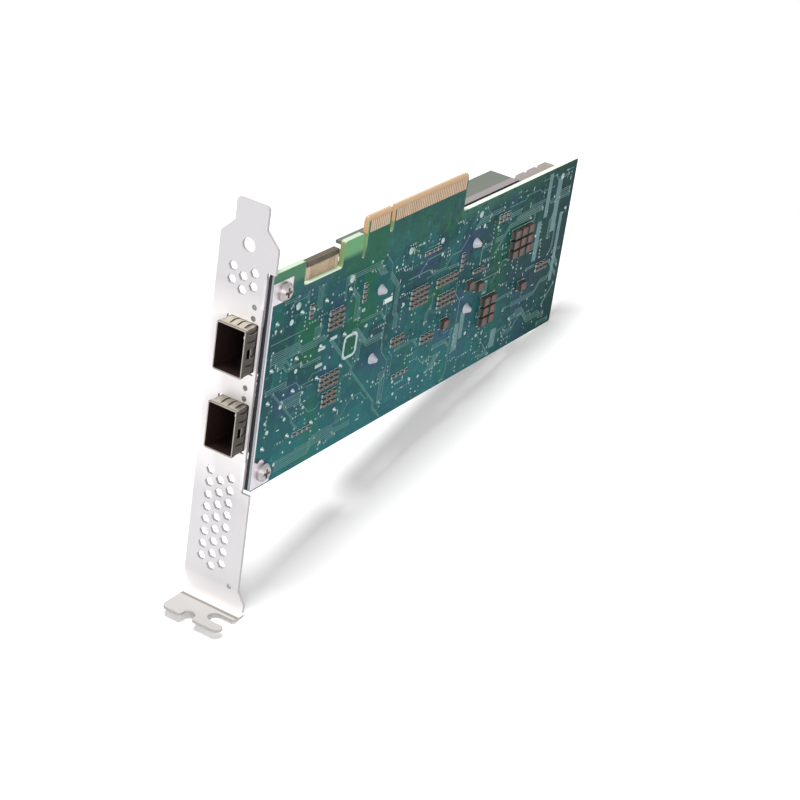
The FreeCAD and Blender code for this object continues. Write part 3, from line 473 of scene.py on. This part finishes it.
CAD_FINISH = {
    "mask": "circuit_board",
    "gold": "edge_contacts_solder_side edge_contacts_component_side port_connector_contacts",
    "bracket": "bracket",
    "screw": "bracket_screws",
    "cage": "upper_port_cage lower_port_cage",
    "collar": "upper_port_spring_collar lower_port_spring_collar",
    "black": "upper_port_connector lower_port_connector",
    "chip": "controller_chip voltage_regulators memory_chips",
    "pad": "thermal_pad",
    "sink": "heat_sink",
    "pin": "heat_sink_push_pins",
    "bobbin": "choke_bobbin",
    "wire": "choke_winding",
    "ferrite": "choke_core",
    "clear": "light_pipes",
    "light": "status_lights",
    "inductor": "power_inductors",
    "can": "polymer_capacitors oscillator_can",
    "ceramic": "chip_capacitors_component_side chip_capacitors_solder_side",
    "ceramic_dark": "storage_capacitors_solder_side",
    "resistor": "chip_resistors_solder_side",
}


def dress_cad_nodes():
    for finish, names in CAD_FINISH.items():
        for name in names.split():
            slots = nodes[name].data.materials
            slots.clear()
            slots.append(FINISH[finish])


# ---- mesh helpers (millimetres)

def mm_box(node):
    """Lowest and highest corner of a CAD node."""
    low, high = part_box(node)
    return low / MM, high / MM


def islands(node):
    """Lowest and highest corner of each separate solid of a CAD node."""
    mesh = nodes[node].data
    parent = {}

    def find(k):
        while parent[k] != k:
            parent[k] = parent[parent[k]]
            k = parent[k]
        return k

    keys = [tuple(round(c, 6) for c in v.co) for v in mesh.vertices]
    for k in keys:
        parent.setdefault(k, k)
    for polygon in mesh.polygons:
        first = find(keys[polygon.vertices[0]])
        for v in polygon.vertices[1:]:
            parent[find(keys[v])] = first
    groups = {}
    for k in parent:
        groups.setdefault(find(k), []).append(Vector(k) / MM)
    boxes = [[Vector([end(p[i] for p in points) for i in range(3)]) for end in (min, max)]
             for points in groups.values()]
    return sorted(boxes, key=lambda b: (round(b[0].x, 2), round(b[0].z, 2)))


def middle(low, high):
    """X and Z of the centre of a box."""
    return (low.x + high.x) / 2, (low.z + high.z) / 2


def arc(x, z, radius, start, end, steps):
    """Points of an arc. Its angles are in degrees."""
    angles = [math.radians(start + (end - start) * k / steps) for k in range(steps + 1)]
    return [(x + radius * math.cos(a), z + radius * math.sin(a)) for a in angles]


class Piece:
    """Gathers the faces of one mesh piece. A face's kind is the place of its finish."""

    def __init__(self, name, slot, *finishes):
        self.name, self.slot, self.finishes = name, slot, finishes
        self.points, self.faces, self.kinds = [], [], []

    def face(self, corners, kind=0, away_from=None):
        corners = [Vector(c) for c in corners]
        if away_from is not None:
            normal = Vector()
            for a, b in zip(corners, corners[1:] + corners[:1]):
                normal += a.cross(b)
            centre = sum(corners, Vector()) / len(corners)
            if normal.dot(centre - away_from) < 0:
                corners.reverse()
        start = len(self.points)
        self.points += corners
        self.faces.append(list(range(start, start + len(corners))))
        self.kinds.append(kind)

    def block(self, low, high, cut, kind=0):
        """Box with chamfered edges."""
        low, high = Vector(low), Vector(high)
        centre = (low + high) / 2

        def corner(signs, axis):
            return [(high if signs[i] > 0 else low)[i] - (0 if i == axis else signs[i] * cut)
                    for i in range(3)]

        for axis in range(3):
            b, c = [i for i in range(3) if i != axis]
            for side in (-1, 1):
                ring = []
                for u, v in ((-1, -1), (1, -1), (1, 1), (-1, 1)):
                    sign = [0, 0, 0]
                    sign[axis], sign[b], sign[c] = side, u, v
                    ring.append(corner(sign, axis))
                self.face(ring, kind, centre)
            for u in (-1, 1):
                for v in (-1, 1):
                    one, two = [0, 0, 0], [0, 0, 0]
                    one[axis], one[b], one[c] = -1, u, v
                    two[axis], two[b], two[c] = 1, u, v
                    self.face([corner(one, b), corner(two, b), corner(two, c), corner(one, c)],
                              kind, centre)
        for sign in [(a, b, c) for a in (-1, 1) for b in (-1, 1) for c in (-1, 1)]:
            self.face([corner(sign, 0), corner(sign, 1), corner(sign, 2)], kind, centre)

    def rings(self, loops, kind=0, caps=(False, False)):
        """Skin over a row of closed loops that have the same number of points."""
        start = len(self.points)
        count = len(loops[0])
        for loop in loops:
            self.points += [Vector(p) for p in loop]
        for k in range(len(loops) - 1):
            for i in range(count):
                j = (i + 1) % count
                a, b = start + k * count, start + (k + 1) * count
                self.faces.append([a + i, a + j, b + j, b + i])
                self.kinds.append(kind)
        if caps[0]:
            self.faces.append([start + i for i in reversed(range(count))])
            self.kinds.append(kind)
        if caps[1]:
            last = start + (len(loops) - 1) * count
            self.faces.append([last + i for i in range(count)])
            self.kinds.append(kind)

    def lathe(self, x, z, profile, kind, sides, caps=(False, False)):
        """Turned form round a line along Y. The profile is (radius, y) pairs."""
        turn = [(math.cos(2 * math.pi * i / sides), math.sin(2 * math.pi * i / sides))
                for i in range(sides)]
        if profile[-1][1] > profile[0][1]:
            turn.reverse()
        self.rings([[(x + r * c, y, z + r * d) for c, d in turn] for r, y in profile], kind, caps)

    def tube(self, path, radius, sides):
        """Round wire along a path, in the piece's first finish."""
        path = [Vector(p) for p in path]
        loops, side = [], None
        for k, p in enumerate(path):
            ahead = path[min(k + 1, len(path) - 1)] - path[max(k - 1, 0)]
            ahead.normalize()
            if side is None:
                side = ahead.orthogonal()
            side = (side - ahead * side.dot(ahead)).normalized()
            other = ahead.cross(side)
            loops.append([p + (side * math.cos(2 * math.pi * i / sides)
                               + other * math.sin(2 * math.pi * i / sides)) * radius
                          for i in range(sides)])
        self.rings(loops, 0, (True, True))

    def flat(self, outline, face_y, sign, height, kind=0):
        """Thin plate with the given (x, z) outline, standing on a board face."""
        top = face_y + sign * height
        centre = Vector((sum(p[0] for p in outline) / len(outline), face_y - sign,
                         sum(p[1] for p in outline) / len(outline)))
        self.face([(x, top, z) for x, z in outline], kind, centre)
        inner = centre.copy()
        inner.y = (face_y + top) / 2
        for (x0, z0), (x1, z1) in zip(outline, outline[1:] + outline[:1]):
            self.face([(x0, face_y, z0), (x1, face_y, z1), (x1, top, z1), (x0, top, z0)], kind, inner)

    def line(self, path, width, face_y, sign, height, kind=0, loop=False):
        """Flat strip with mitred corners along an (x, z) path on a board face."""
        path = [Vector(p) for p in path]
        path = [p for k, p in enumerate(path) if not k or (p - path[k - 1]).length > 1e-6]
        top = face_y + sign * height
        rails = []
        for k, p in enumerate(path):
            ways = []
            if k or loop:
                ways.append((p - path[k - 1]).normalized())
            if k < len(path) - 1 or loop:
                ways.append((path[(k + 1) % len(path)] - p).normalized())
            mean = (ways[0] + ways[-1]).normalized()
            reach = width / 2 / max(mean.dot(ways[0]), 0.5)
            if not loop and k in (0, len(path) - 1):
                p = p + ways[0] * (width / 2 if k else -width / 2)
            across = Vector((-mean.y, mean.x)) * reach
            rails.append((p + across, p - across))

        def wall(u, v, inside):
            self.face([(u.x, face_y, u.y), (v.x, face_y, v.y), (v.x, top, v.y), (u.x, top, u.y)],
                      kind, Vector((inside.x, (face_y + top) / 2, inside.y)))

        for (a, b), (c, d) in zip(rails, rails[1:] + rails[:1] if loop else rails[1:]):
            inside = (a + b + c + d) / 4
            self.face([(q.x, top, q.y) for q in (a, c, d, b)], kind,
                      Vector((inside.x, face_y - sign, inside.y)))
            wall(a, c, inside)
            wall(b, d, inside)
        if not loop:
            for (a, b), (c, d) in (rails[:2], rails[:-3:-1]):
                wall(a, b, (c + d) / 2)

    def done(self, replaces=(), angle=35):
        """Makes the piece. Edges sharper than the angle, in degrees, stay sharp."""
        mesh = bpy.data.meshes.new(self.name)
        mesh.from_pydata([p * MM for p in self.points], [], self.faces)
        for finish in self.finishes:
            mesh.materials.append(FINISH[finish])
        mesh.polygons.foreach_set("material_index", self.kinds)
        mesh.shade_smooth()
        mesh.set_sharp_from_angle(angle=math.radians(angle))
        mesh.validate()
        mesh.update()
        piece = bpy.data.objects.new(self.name, mesh)
        bpy.context.scene.collection.objects.link(piece)
        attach(piece, "root")
        if replaces:
            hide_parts(*replaces)


# ---- small parts

def chip_parts(name, node, slot, body, end_share, ends="tin"):
    """Ceramic chip parts: body, two plated ends and a solder fillet at each end."""
    out_of_place = 0.03               # each part sits up to this far from its exact place
    under, over = 0.03, 0.06          # body shorter than its ends, as shares of the height
    shy, overlap, seat = 0.04, 0.9, 0.01
    fillet = [(0.0, 0.72), (0.2, 0.36), (0.55, 0.12), (1.0, 0.02)]     # shares of reach and height
    piece = Piece(name, slot, body, ends, "solder" if ends == "tin" else ends)
    for low, high in islands(node):
        sign = -1 if high.y < 0 else 1
        base, top = (high.y, low.y) if sign < 0 else (low.y, high.y)
        height = abs(top - base)
        end = (high.x - low.x) * end_share
        dx, dz = [rng.uniform(-out_of_place, out_of_place) for _ in range(2)]
        x0, x1, z0, z1 = low.x + dx, high.x + dx, low.z + dz, high.z + dz
        y0, y1 = sorted((base + sign * under * height, top - sign * over * height))
        piece.block((x0 + end * overlap, y0, z0 + shy), (x1 - end * overlap, y1, z1 - shy), 0.03)
        y0, y1 = sorted((base + sign * seat, top))
        for a, b in ((x0, x0 + end), (x1 - end, x1)):
            piece.block((a, y0, z0), (b, y1, z1), 0.06, 1)
        reach = 0.28 * height + 0.1
        for edge, out in ((x0, -1), (x1, 1)):
            near = [(edge + out * reach * a, base + sign * height * b, z0 + 0.05) for a, b in fillet]
            far = [(x, y, z1 - 0.05) for x, y, _ in near]
            centre = Vector((edge - out, base - sign, (z0 + z1) / 2))
            for k in range(len(fillet) - 1):
                piece.face([near[k], near[k + 1], far[k + 1], far[k]], 2, centre)
            for side in (near, far):
                piece.face(side + [(edge, base, side[0][2])], 2, Vector((edge, base, (z0 + z1) / 2)))
    piece.done([node])


def winding():
    """The choke's covered wire, wound turn by turn round the flat post."""
    wire, bend, clearance = 0.5, 0.3, 0.02
    low, high = mm_box("choke_winding")
    inset = wire / 2 + clearance + bend
    y0, y1, z0, z1 = low.y + inset, high.y - inset, low.z + inset, high.z - inset
    turns = int((high.x - low.x) / wire)
    pitch = (high.x - low.x - wire) / turns
    loop = (arc(y1, z1, bend, 0, 90, 4) + arc(y0, z1, bend, 90, 180, 4)
            + arc(y0, z0, bend, 180, 270, 4) + arc(y1, z0, bend, 270, 360, 4))
    path = [(low.x + wire / 2 + pitch * (turn + k / len(loop)), y, z)
            for turn in range(turns) for k, (y, z) in enumerate(loop)]
    piece = Piece("choke_wire_turns", "winding", "wire")
    piece.tube(path, wire / 2, 8)
    piece.done(["choke_winding"], 60)


def pin_springs():
    """Coil springs that hold the heat sink down, the moulded ring on each pin's head, and a grey
    painted-shade disc over the hollow in its middle.
    """
    head, gap, length = 1.6, 0.25, 3.9
    coil, wire, turns, steps = 2.25, 0.22, 5.5, 132
    piece = Piece("push_pin_springs", "pin", "spring", "pin", "pin_hole")
    for low, high in islands("heat_sink_push_pins"):
        x, z = middle(low, high)
        bottom = high.y - head - gap - length
        path = []
        for k in range(steps + 1):
            rise = 0.03 + 0.94 * min(max((k / steps - 0.1) / 0.8, 0.0), 1.0)     # closed at both ends
            a = 2 * math.pi * turns * k / steps
            path.append((x + coil * math.cos(a), bottom + length * rise, z + coil * math.sin(a)))
        piece.tube(path, wire, 7)
        rim, face = (high.x - low.x) / 2, high.y
        outer = [(rim - 0.35, face - 0.02), (rim - 0.4, face + 0.16), (rim - 0.75, face + 0.16),
                 (rim - 0.85, face - 0.02)]
        inner = [(1.15, face - 0.02), (1.05, face + 0.14), (0.75, face + 0.14), (0.7, face + 0.01),
                 (0.01, face + 0.005)]
        piece.lathe(x, z, outer, 1, 32)
        piece.lathe(x, z, inner, 1, 24)
        # Painted shade: a flat grey disc where the pin's middle is hollow.
        piece.lathe(x, z, [(0.69, face + 0.012), (0.01, face + 0.014)], 2, 20)
    piece.done(angle=40)


def memory_packages():
    """Flash and memory packages with gull-wing leads."""
    lift, draft, dimple = 0.12, 0.14, 0.28
    leads, pitch, reach, half_wide, thick = 4, 1.27, 1.0, 0.2, 0.12
    piece = Piece("memory_packages", "chip_body", "chip", "tin", "dimple")
    for low, high in islands("memory_chips"):
        z0, z1 = low.z + reach, high.z - reach
        y0, y1 = low.y + lift, high.y
        waist = (y0 + y1) / 2
        loops = []
        for y, inset in ((y0, draft), (waist, 0.0), (y1 - 0.06, draft), (y1, draft + 0.08)):
            loops.append([(low.x + inset, y, z0 + inset), (low.x + inset, y, z1 - inset),
                          (high.x - inset, y, z1 - inset), (high.x - inset, y, z0 + inset)])
        piece.rings(loops, 0, (True, True))
        piece.lathe(low.x + 0.75, z1 - 0.75, [(dimple, y1 + 0.005), (dimple, y1 + 0.012)], 2, 14,
                    (False, True))
        lead = [(0.0, waist), (0.22, waist), (0.36, waist - 0.1), (0.5, low.y + 0.3),
                (0.62, low.y + 0.14), (0.98, low.y + 0.12)]
        for k in range(leads):
            x = (low.x + high.x) / 2 + (k - (leads - 1) / 2) * pitch
            for edge, out in ((z0, -1), (z1, 1)):
                upper = [[(x + w, y, edge + out * d) for w in (-half_wide, half_wide)] for d, y in lead]
                lower = [[(px, py - thick, pz) for px, py, pz in pair] for pair in upper]
                cuts = list(zip(upper, lower))
                for (a, c), (b, d) in zip(cuts, cuts[1:]):
                    centre = sum((Vector(p) for p in a + b + c + d), Vector()) / 8
                    piece.face([a[0], a[1], b[1], b[0]], 1, centre)
                    piece.face([c[0], c[1], d[1], d[0]], 1, centre)
                    for w in (0, 1):
                        piece.face([a[w], b[w], d[w], c[w]], 1, centre)
                piece.face([b[0], b[1], d[1], d[0]], 1, Vector((x, low.y, edge)))
    piece.done(["memory_chips"])


def regulator_packages():
    """Flat leadless power packages with tinned pads along two sides."""
    shy, pads, half_pad, dimple = 0.05, 8, 0.17, 0.3
    piece = Piece("regulator_packages", "chip_body", "chip", "tin", "dimple")
    for low, high in islands("voltage_regulators"):
        piece.block((low.x + shy, low.y + 0.04, low.z + shy), (high.x - shy, high.y, high.z - shy), 0.07)
        piece.lathe(low.x + 0.8, high.z - 0.8, [(dimple, high.y + 0.004), (dimple, high.y + 0.01)], 2, 14,
                    (False, True))
        for k in range(pads):
            x = low.x + (k + 0.5) * (high.x - low.x) / pads
            for z in (low.z + 0.15, high.z - 0.15):
                piece.block((x - half_pad, low.y, z - 0.15), (x + half_pad, low.y + 0.22, z + 0.15),
                            0.02, 1)
    piece.done(["voltage_regulators"])


def inductor_bodies():
    """Moulded power inductors with wrapped terminals."""
    cut, shy, half_wide, sheet = 1.05, 0.1, 1.5, 0.14
    side_high, foot_long = 2.6, 1.4
    piece = Piece("inductor_bodies", "inductor", "inductor", "tin")
    for low, high in islands("power_inductors"):
        x0, x1, z0, z1 = low.x + shy, high.x - shy, low.z + shy, high.z - shy
        a0, a1, c0, c1 = low.x + cut, high.x - cut, low.z + cut, high.z - cut
        outline = [(a0, z0), (a1, z0), (x1, c0), (x1, c1), (a1, z1), (a0, z1), (x0, c1), (x0, c0)]
        cx, cz = middle(low, high)
        loops = []
        for y, shrink in ((low.y + 0.15, 0.985), (low.y + 0.35, 1.0), (high.y - 0.35, 1.0),
                          (high.y - 0.1, 0.97), (high.y, 0.92)):
            loops.append([(cx + (x - cx) * shrink, y, cz + (z - cz) * shrink) for x, z in outline])
        piece.rings(loops, 0, (True, True))
        for long, tall in ((sheet, side_high), (foot_long, sheet)):
            for start, end in ((low.x, low.x + long), (high.x - long, high.x)):
                piece.block((start, low.y, cz - half_wide), (end, low.y + tall, cz + half_wide), 0.03, 1)
    piece.done(["power_inductors"], 30)


def capacitor_cans():
    """Polymer capacitors: moulded foot, rolled aluminium can and a painted polarity mark."""
    foot_high, foot_cut, r = 0.9, 0.9, 3.1
    lead_long, lead_half, lead_high = 0.7, 0.45, 0.12
    piece = Piece("capacitor_cans", "capacitor_can", "can", "black", "mark", "tin")
    for low, high in islands("polymer_capacitors"):
        cx, cz = middle(low, high)
        half = (high.x - low.x) / 2 - 0.02
        foot, top = low.y + foot_high, high.y
        outline = [(-half, -half), (half - foot_cut, -half), (half, foot_cut - half),
                   (half, half - foot_cut), (half - foot_cut, half), (-half, half)]
        centre = Vector((cx, (low.y + foot) / 2, cz))
        loops = [[(cx + x * s, y, cz + z * s) for x, z in outline]
                 for y, s in ((low.y + 0.1, 0.98), (foot - 0.1, 1.0), (foot, 0.97))]
        for a, b in zip(loops, loops[1:]):
            for i in range(len(outline)):
                j = (i + 1) % len(outline)
                piece.face([a[i], a[j], b[j], b[i]], 1, centre)
        piece.face(loops[-1], 1, centre)
        can = [(r - 0.25, foot - 0.05), (r - 0.08, foot + 0.25), (r - 0.3, foot + 0.75),
               (r - 0.34, foot + 0.95), (r - 0.05, foot + 1.35), (r, foot + 1.6),
               (r, top - 0.35), (r - 0.1, top - 0.12), (r - 0.3, top - 0.01),
               (r - 0.55, top - 0.04), (0.02, top - 0.04)]
        piece.lathe(cx, cz, can, 0, 40, (True, True))
        piece.flat(arc(cx, cz, r - 0.62, 112, 248, 16), top - 0.04, 1, 0.02, 2)
        for x0, x1 in ((low.x, low.x + lead_long), (high.x - lead_long, high.x)):
            piece.block((x0, low.y, cz - lead_half), (x1, low.y + lead_high, cz + lead_half), 0.02, 3)
    piece.done(["polymer_capacitors"], 40)


def oscillator():
    """Metal lid on a paler ceramic base."""
    base, overlap, inset = 0.5, 0.1, 0.3
    low, high = mm_box("oscillator_can")
    piece = Piece("oscillator_package", "oscillator", "can", "ceramic_rim")
    piece.block(low, (high.x, low.y + base, high.z), 0.08, 1)
    piece.block((low.x + inset, low.y + base - overlap, low.z + inset),
                (high.x - inset, high.y, high.z - inset), 0.14)
    piece.done(["oscillator_can"])


# ---- board surface

# Parts soldered to each face (-1 is the solder side), and the room that print leaves round them.
SOLDERED = {
    -1: {"storage_capacitors_solder_side": 0.35, "chip_capacitors_solder_side": 0.22,
         "chip_resistors_solder_side": 0.22},
    1: {"power_inductors": 0.3, "polymer_capacitors": 0.3, "voltage_regulators": 0.4,
        "memory_chips": 0.3, "oscillator_can": 0.35, "chip_capacitors_component_side": 0.25},
}


def keep_clear(side):
    """Boxes (x0, x1, z0, z1) on one board face that parts, pins and holes take."""
    room, pin_room = 0.5, 0.9
    others = ["bracket_screws", "heat_sink_push_pins"] if side < 0 else ["status_lights"]
    zones = []
    for name in [*SOLDERED[side], *others]:
        for low, high in islands(name):
            zones.append((low.x - room, high.x + room, low.z - room, high.z + room))
    if side > 0:
        for name in PORT_CAGES + ["choke_core", "light_pipes", "controller_chip"]:
            low, high = mm_box(name)
            zones.append((low.x, high.x, low.z, high.z))
    else:
        zones += [(x - pin_room, x + pin_room, z - pin_room, z + pin_room) for x, z in pin_tips()]
    return zones


def pin_tips():
    """Places of the port cage pins that come through the board."""
    through, apart = 0.3, 1.2
    spots = []
    for name in PORT_CAGES:
        for v in nodes[name].data.vertices:
            if v.co.y < SOLDER - through * MM:
                x, z = v.co.x / MM, v.co.z / MM
                if not any(abs(x - a) < apart and abs(z - b) < apart for a, b in spots):
                    spots.append((x, z))
    return spots


class Tracks:
    """Free cells of a board face, on which tracks and vias are laid without crossing."""

    def __init__(self, side, pitch=0.62):
        near, far, foot, top = 2.4, 1.2, 1.0, 1.6          # margins along the board's edges
        self.pitch = pitch
        self.x0, self.z0 = board_low.x / MM + near, board_low.z / MM + foot
        self.columns = int((board_high.x / MM - far - self.x0) / pitch)
        self.rows = int((MAIN_EDGE - top - self.z0) / pitch)
        self.taken = set()
        for a, b, c, d in keep_clear(side):
            for i in range(int((a - self.x0) / pitch), int((b - self.x0) / pitch) + 2):
                for j in range(int((c - self.z0) / pitch), int((d - self.z0) / pitch) + 2):
                    self.taken.add((i, j))

    def free(self, cell):
        return 0 <= cell[0] < self.columns and 0 <= cell[1] < self.rows and cell not in self.taken

    def at(self, cell):
        return self.x0 + cell[0] * self.pitch, self.z0 + cell[1] * self.pitch

    def any_cell(self, margin=0):
        return rng.randrange(self.columns - margin), rng.randrange(self.rows - margin)

    def run(self, start, moves):
        """Follows a list of (direction, steps) from a cell, as far as the cells are free."""
        compass = [(1, 0), (1, 1), (0, 1), (-1, 1), (-1, 0), (-1, -1), (0, -1), (1, -1)]
        shortest = 5
        if not self.free(start):
            return []
        cell, corners, cells = start, [start], [start]
        for direction, steps in moves:
            dx, dz = compass[direction % 8]
            for _ in range(steps):
                ahead = (cell[0] + dx, cell[1] + dz)
                beside = self.free((cell[0] + dx, cell[1])) or self.free((cell[0], cell[1] + dz))
                if not self.free(ahead) or (dx and dz and not beside):
                    if cell != corners[-1]:
                        corners.append(cell)
                    self.taken.update(cells)
                    return corners if len(cells) >= shortest else []
                cell = ahead
                cells.append(cell)
            corners.append(cell)
        self.taken.update(cells)
        return corners


def copper_and_print(side):
    """Tracks, vias, test pads and part outlines on one face of the board."""
    bundles, via_rows, test_pads = (150, 380, 130) if side < 0 else (130, 300, 50)
    face_y = (SOLDER if side < 0 else COMPONENT) / MM
    top = face_y + side * VIA_RISE
    name = "solder_side" if side < 0 else "component_side"
    tracks = Piece(name + "_tracks", "board", "track")
    vias = Piece(name + "_vias", "board", "track", "joint", "dark", "joint")
    grid = Tracks(side)

    def via(x, z, kind):
        size = rng.choice((0.26, 0.30, 0.34))
        vias.lathe(x, z, [(size, face_y), (size * 0.94, top), (size * 0.5, top)], kind, 10)
        vias.lathe(x, z, [(size * 0.5, top), (0.01, face_y + side * 0.03)], 2, 10)

    for _ in range(bundles):
        start = grid.any_cell()
        heading = rng.choice((0, 0, 0, 4, 4, 2, 6, 1, 7))
        moves = [(heading, rng.randint(4, 26))]
        for _ in range(rng.randint(1, 3)):
            turn = rng.choice((-1, 1))
            moves.append((moves[-1][0] + turn, rng.randint(2, 9)))
            moves.append((moves[-1][0] - turn, rng.randint(4, 24)))
        for lane in range(rng.choice((1, 2, 2, 3, 4, 6))):
            offset = (0, lane) if heading % 4 == 0 else (lane, 0)
            corners = grid.run((start[0] + offset[0], start[1] + offset[1]), moves)
            if len(corners) < 2:
                continue
            points = [grid.at(c) for c in corners]
            tracks.line(points, rng.choice((0.16, 0.2, 0.2, 0.28)), face_y, side, TRACK_RISE)
            for end in (points[0], points[-1]):
                via(*end, kind=rng.choice((0, 0, 1)))
    for _ in range(via_rows):
        cell = grid.any_cell()
        row = rng.choice((1, 1, 2, 4, 6))
        dx, dz = rng.choice(((2, 0), (0, 2)))
        for k in range(row):
            spot = (cell[0] + dx * k, cell[1] + dz * k)
            if grid.free(spot):
                grid.taken.add(spot)
                via(*grid.at(spot), kind=rng.choice((0, 1, 1)))
    for _ in range(test_pads):
        cell = grid.any_cell()
        if not grid.free(cell) or (side < 0 and cell[0] > grid.columns * rng.uniform(0.3, 1.0)):
            continue
        grid.taken.add(cell)
        r = rng.choice((0.36, 0.42, 0.5, 0.6))
        vias.lathe(*grid.at(cell), [(r, face_y), (r * 0.96, top), (0.01, top)], 3, 12)
    tracks.done()
    vias.done(angle=25)
    outlines(side, face_y, name, grid)


def outlines(side, face_y, name, grid):
    """White printed outlines round the parts, and plain short bars. No lettering."""
    bars = 110 if side < 0 else 60
    thin, bar = 0.13, 0.2
    roomy = 0.3          # parts with more room than this also get printed ends
    ink = Piece(name + "_print", "board", "silk")

    def draw(start, end, width):
        ink.line([start, end], width, face_y, side, PRINT_RISE)

    for node, room in SOLDERED[side].items():
        for low, high in islands(node):
            x0, x1, z0, z1 = low.x - room, high.x + room, low.z - room, high.z + room
            for z in (z0, z1):
                draw((x0 + 0.2, z), (x1 - 0.2, z), thin)
            if room > roomy:
                for x in (x0, x1):
                    draw((x, z0), (x, z1), thin)
    for _ in range(bars):
        cell = grid.any_cell(3)
        if not all(grid.free((cell[0] + i, cell[1] + j)) for i in range(3) for j in range(2)):
            continue
        x, z = grid.at(cell)
        long = rng.uniform(0.3, 1.6)
        dx, dz = rng.choice(((long, 0), (0, long)))
        draw((x, z), (x + dx, z + dz), bar)
    if side < 0:
        draw((bracket_front + 59.2, -29.6), (bracket_front + 62.4, -29.6), 1.5)
    ink.done()


def plated_areas():
    """Plated copper on the solder side: screw lands, grounding strip, pads and wide tracks."""
    # X is from the bracket's front face, Z is the frame's.
    round_pads = ((14.5, -17.5, 1.15), (40.0, -17.0, 1.2), (70.0, -17.0, 1.1), (109.0, -16.0, 1.1),
                  (159.0, -16.0, 1.0), (12.0, -21.5, 0.9), (22.0, -21.0, 0.9), (87.5, -18.6, 0.9),
                  (112.0, -20.5, 0.7), (17.0, -37.5, 0.7), (11.5, -46.5, 0.7), (6.5, -52.5, 0.7))
    bars = ((27.5, -34.5), (27.0, -39.5), (33.0, -33.0))
    wide_tracks = ((148.4, -41.0, -30.0, 2.6), (151.5, -27.0, -14.5, 2.2), (158.0, -33.0, -18.0, 3.0),
                   (162.5, -52.0, -30.0, 2.0), (104.4, -58.0, -52.0, 3.2), (107.0, -55.0, -48.5, 2.6),
                   (129.0, -64.5, -61.5, 3.4))
    hole_x, hole_z, hole_r = 3.7, -60.0, 0.85
    ring_x, ring_z, ring_r = (41.6, 45.0), (-40.2, -36.3), 1.4     # centres of its round corners
    plate = Piece("solder_side_plating", "board", "plated", "dark", "joint", "pour")
    face_y = SOLDER / MM
    x0, front = board_low.x / MM, bracket_front
    lower, upper = sorted(middle(low, high)[1] for low, high in islands("bracket_screws"))
    top, low = upper + 3.1, lower - 4.2

    def land(*outline):
        plate.flat([(x0 + x, z) for x, z in outline], face_y, -1, LAND_RISE)

    land((0.1, top), (9.2, top), (9.2, top - 4.6), (7.6, top - 6.3), (0.1, top - 6.3))
    land((0.1, low), (8.8, low), (8.8, low + 3.6), (4.4, low + 8.2), (0.1, low + 8.2))
    land((0.1, low + 8.2), (0.8, low + 8.2), (0.8, top - 6.3), (0.1, top - 6.3))
    for x, z, r in round_pads:
        plate.lathe(front + x, z, [(r, face_y), (r * 0.97, face_y - 0.05), (0.01, face_y - 0.05)], 2, 18)
    plate.lathe(front + hole_x, hole_z, [(hole_r, face_y - 0.045), (0.01, face_y - 0.047)], 1, 18)
    (left, right), (down, high) = [front + x for x in ring_x], ring_z
    corners = (arc(right, high, ring_r, 0, 90, 4) + arc(left, high, ring_r, 90, 180, 4)
               + arc(left, down, ring_r, 180, 270, 4) + arc(right, down, ring_r, 270, 360, 4))
    plate.line(corners, 0.85, face_y, -1, 0.036, 2, True)
    for x, z in bars:
        plate.line([(front + x, z), (front + x + 2.4, z)], 1.0, face_y, -1, 0.036, 2)
    for x, z0, z1, wide in wide_tracks:
        plate.line([(front + x, z0), (front + x, z1)], wide, face_y, -1, 0.012, 3)
    joint = [(0.72, 0.0), (0.68, 0.05), (0.5, 0.2), (0.42, 0.5), (0.28, 0.62), (0.01, 0.64)]
    for x, z in pin_tips():
        plate.lathe(x, z, [(r, face_y - rise) for r, rise in joint], 2, 14)
    plate.done(angle=60)


bpy.context.scene.view_settings.view_transform = "Standard"
make_camera()
make_lights(make_floor(resting_slope()))
dress_cad_nodes()

chip_parts("solder_side_capacitors", "chip_capacitors_solder_side", "ceramic", "ceramic", 0.24)
chip_parts("component_side_capacitors", "chip_capacitors_component_side", "ceramic", "ceramic", 0.24)
chip_parts("solder_side_storage", "storage_capacitors_solder_side", "large_ceramic", "ceramic_dark", 0.16,
           "dull_end")
chip_parts("solder_side_resistors", "chip_resistors_solder_side", "resistor", "resistor", 0.2)
winding()
pin_springs()
memory_packages()
regulator_packages()
inductor_bodies()
capacitor_cans()
oscillator()
copper_and_print(-1)
copper_and_print(1)
plated_areas()
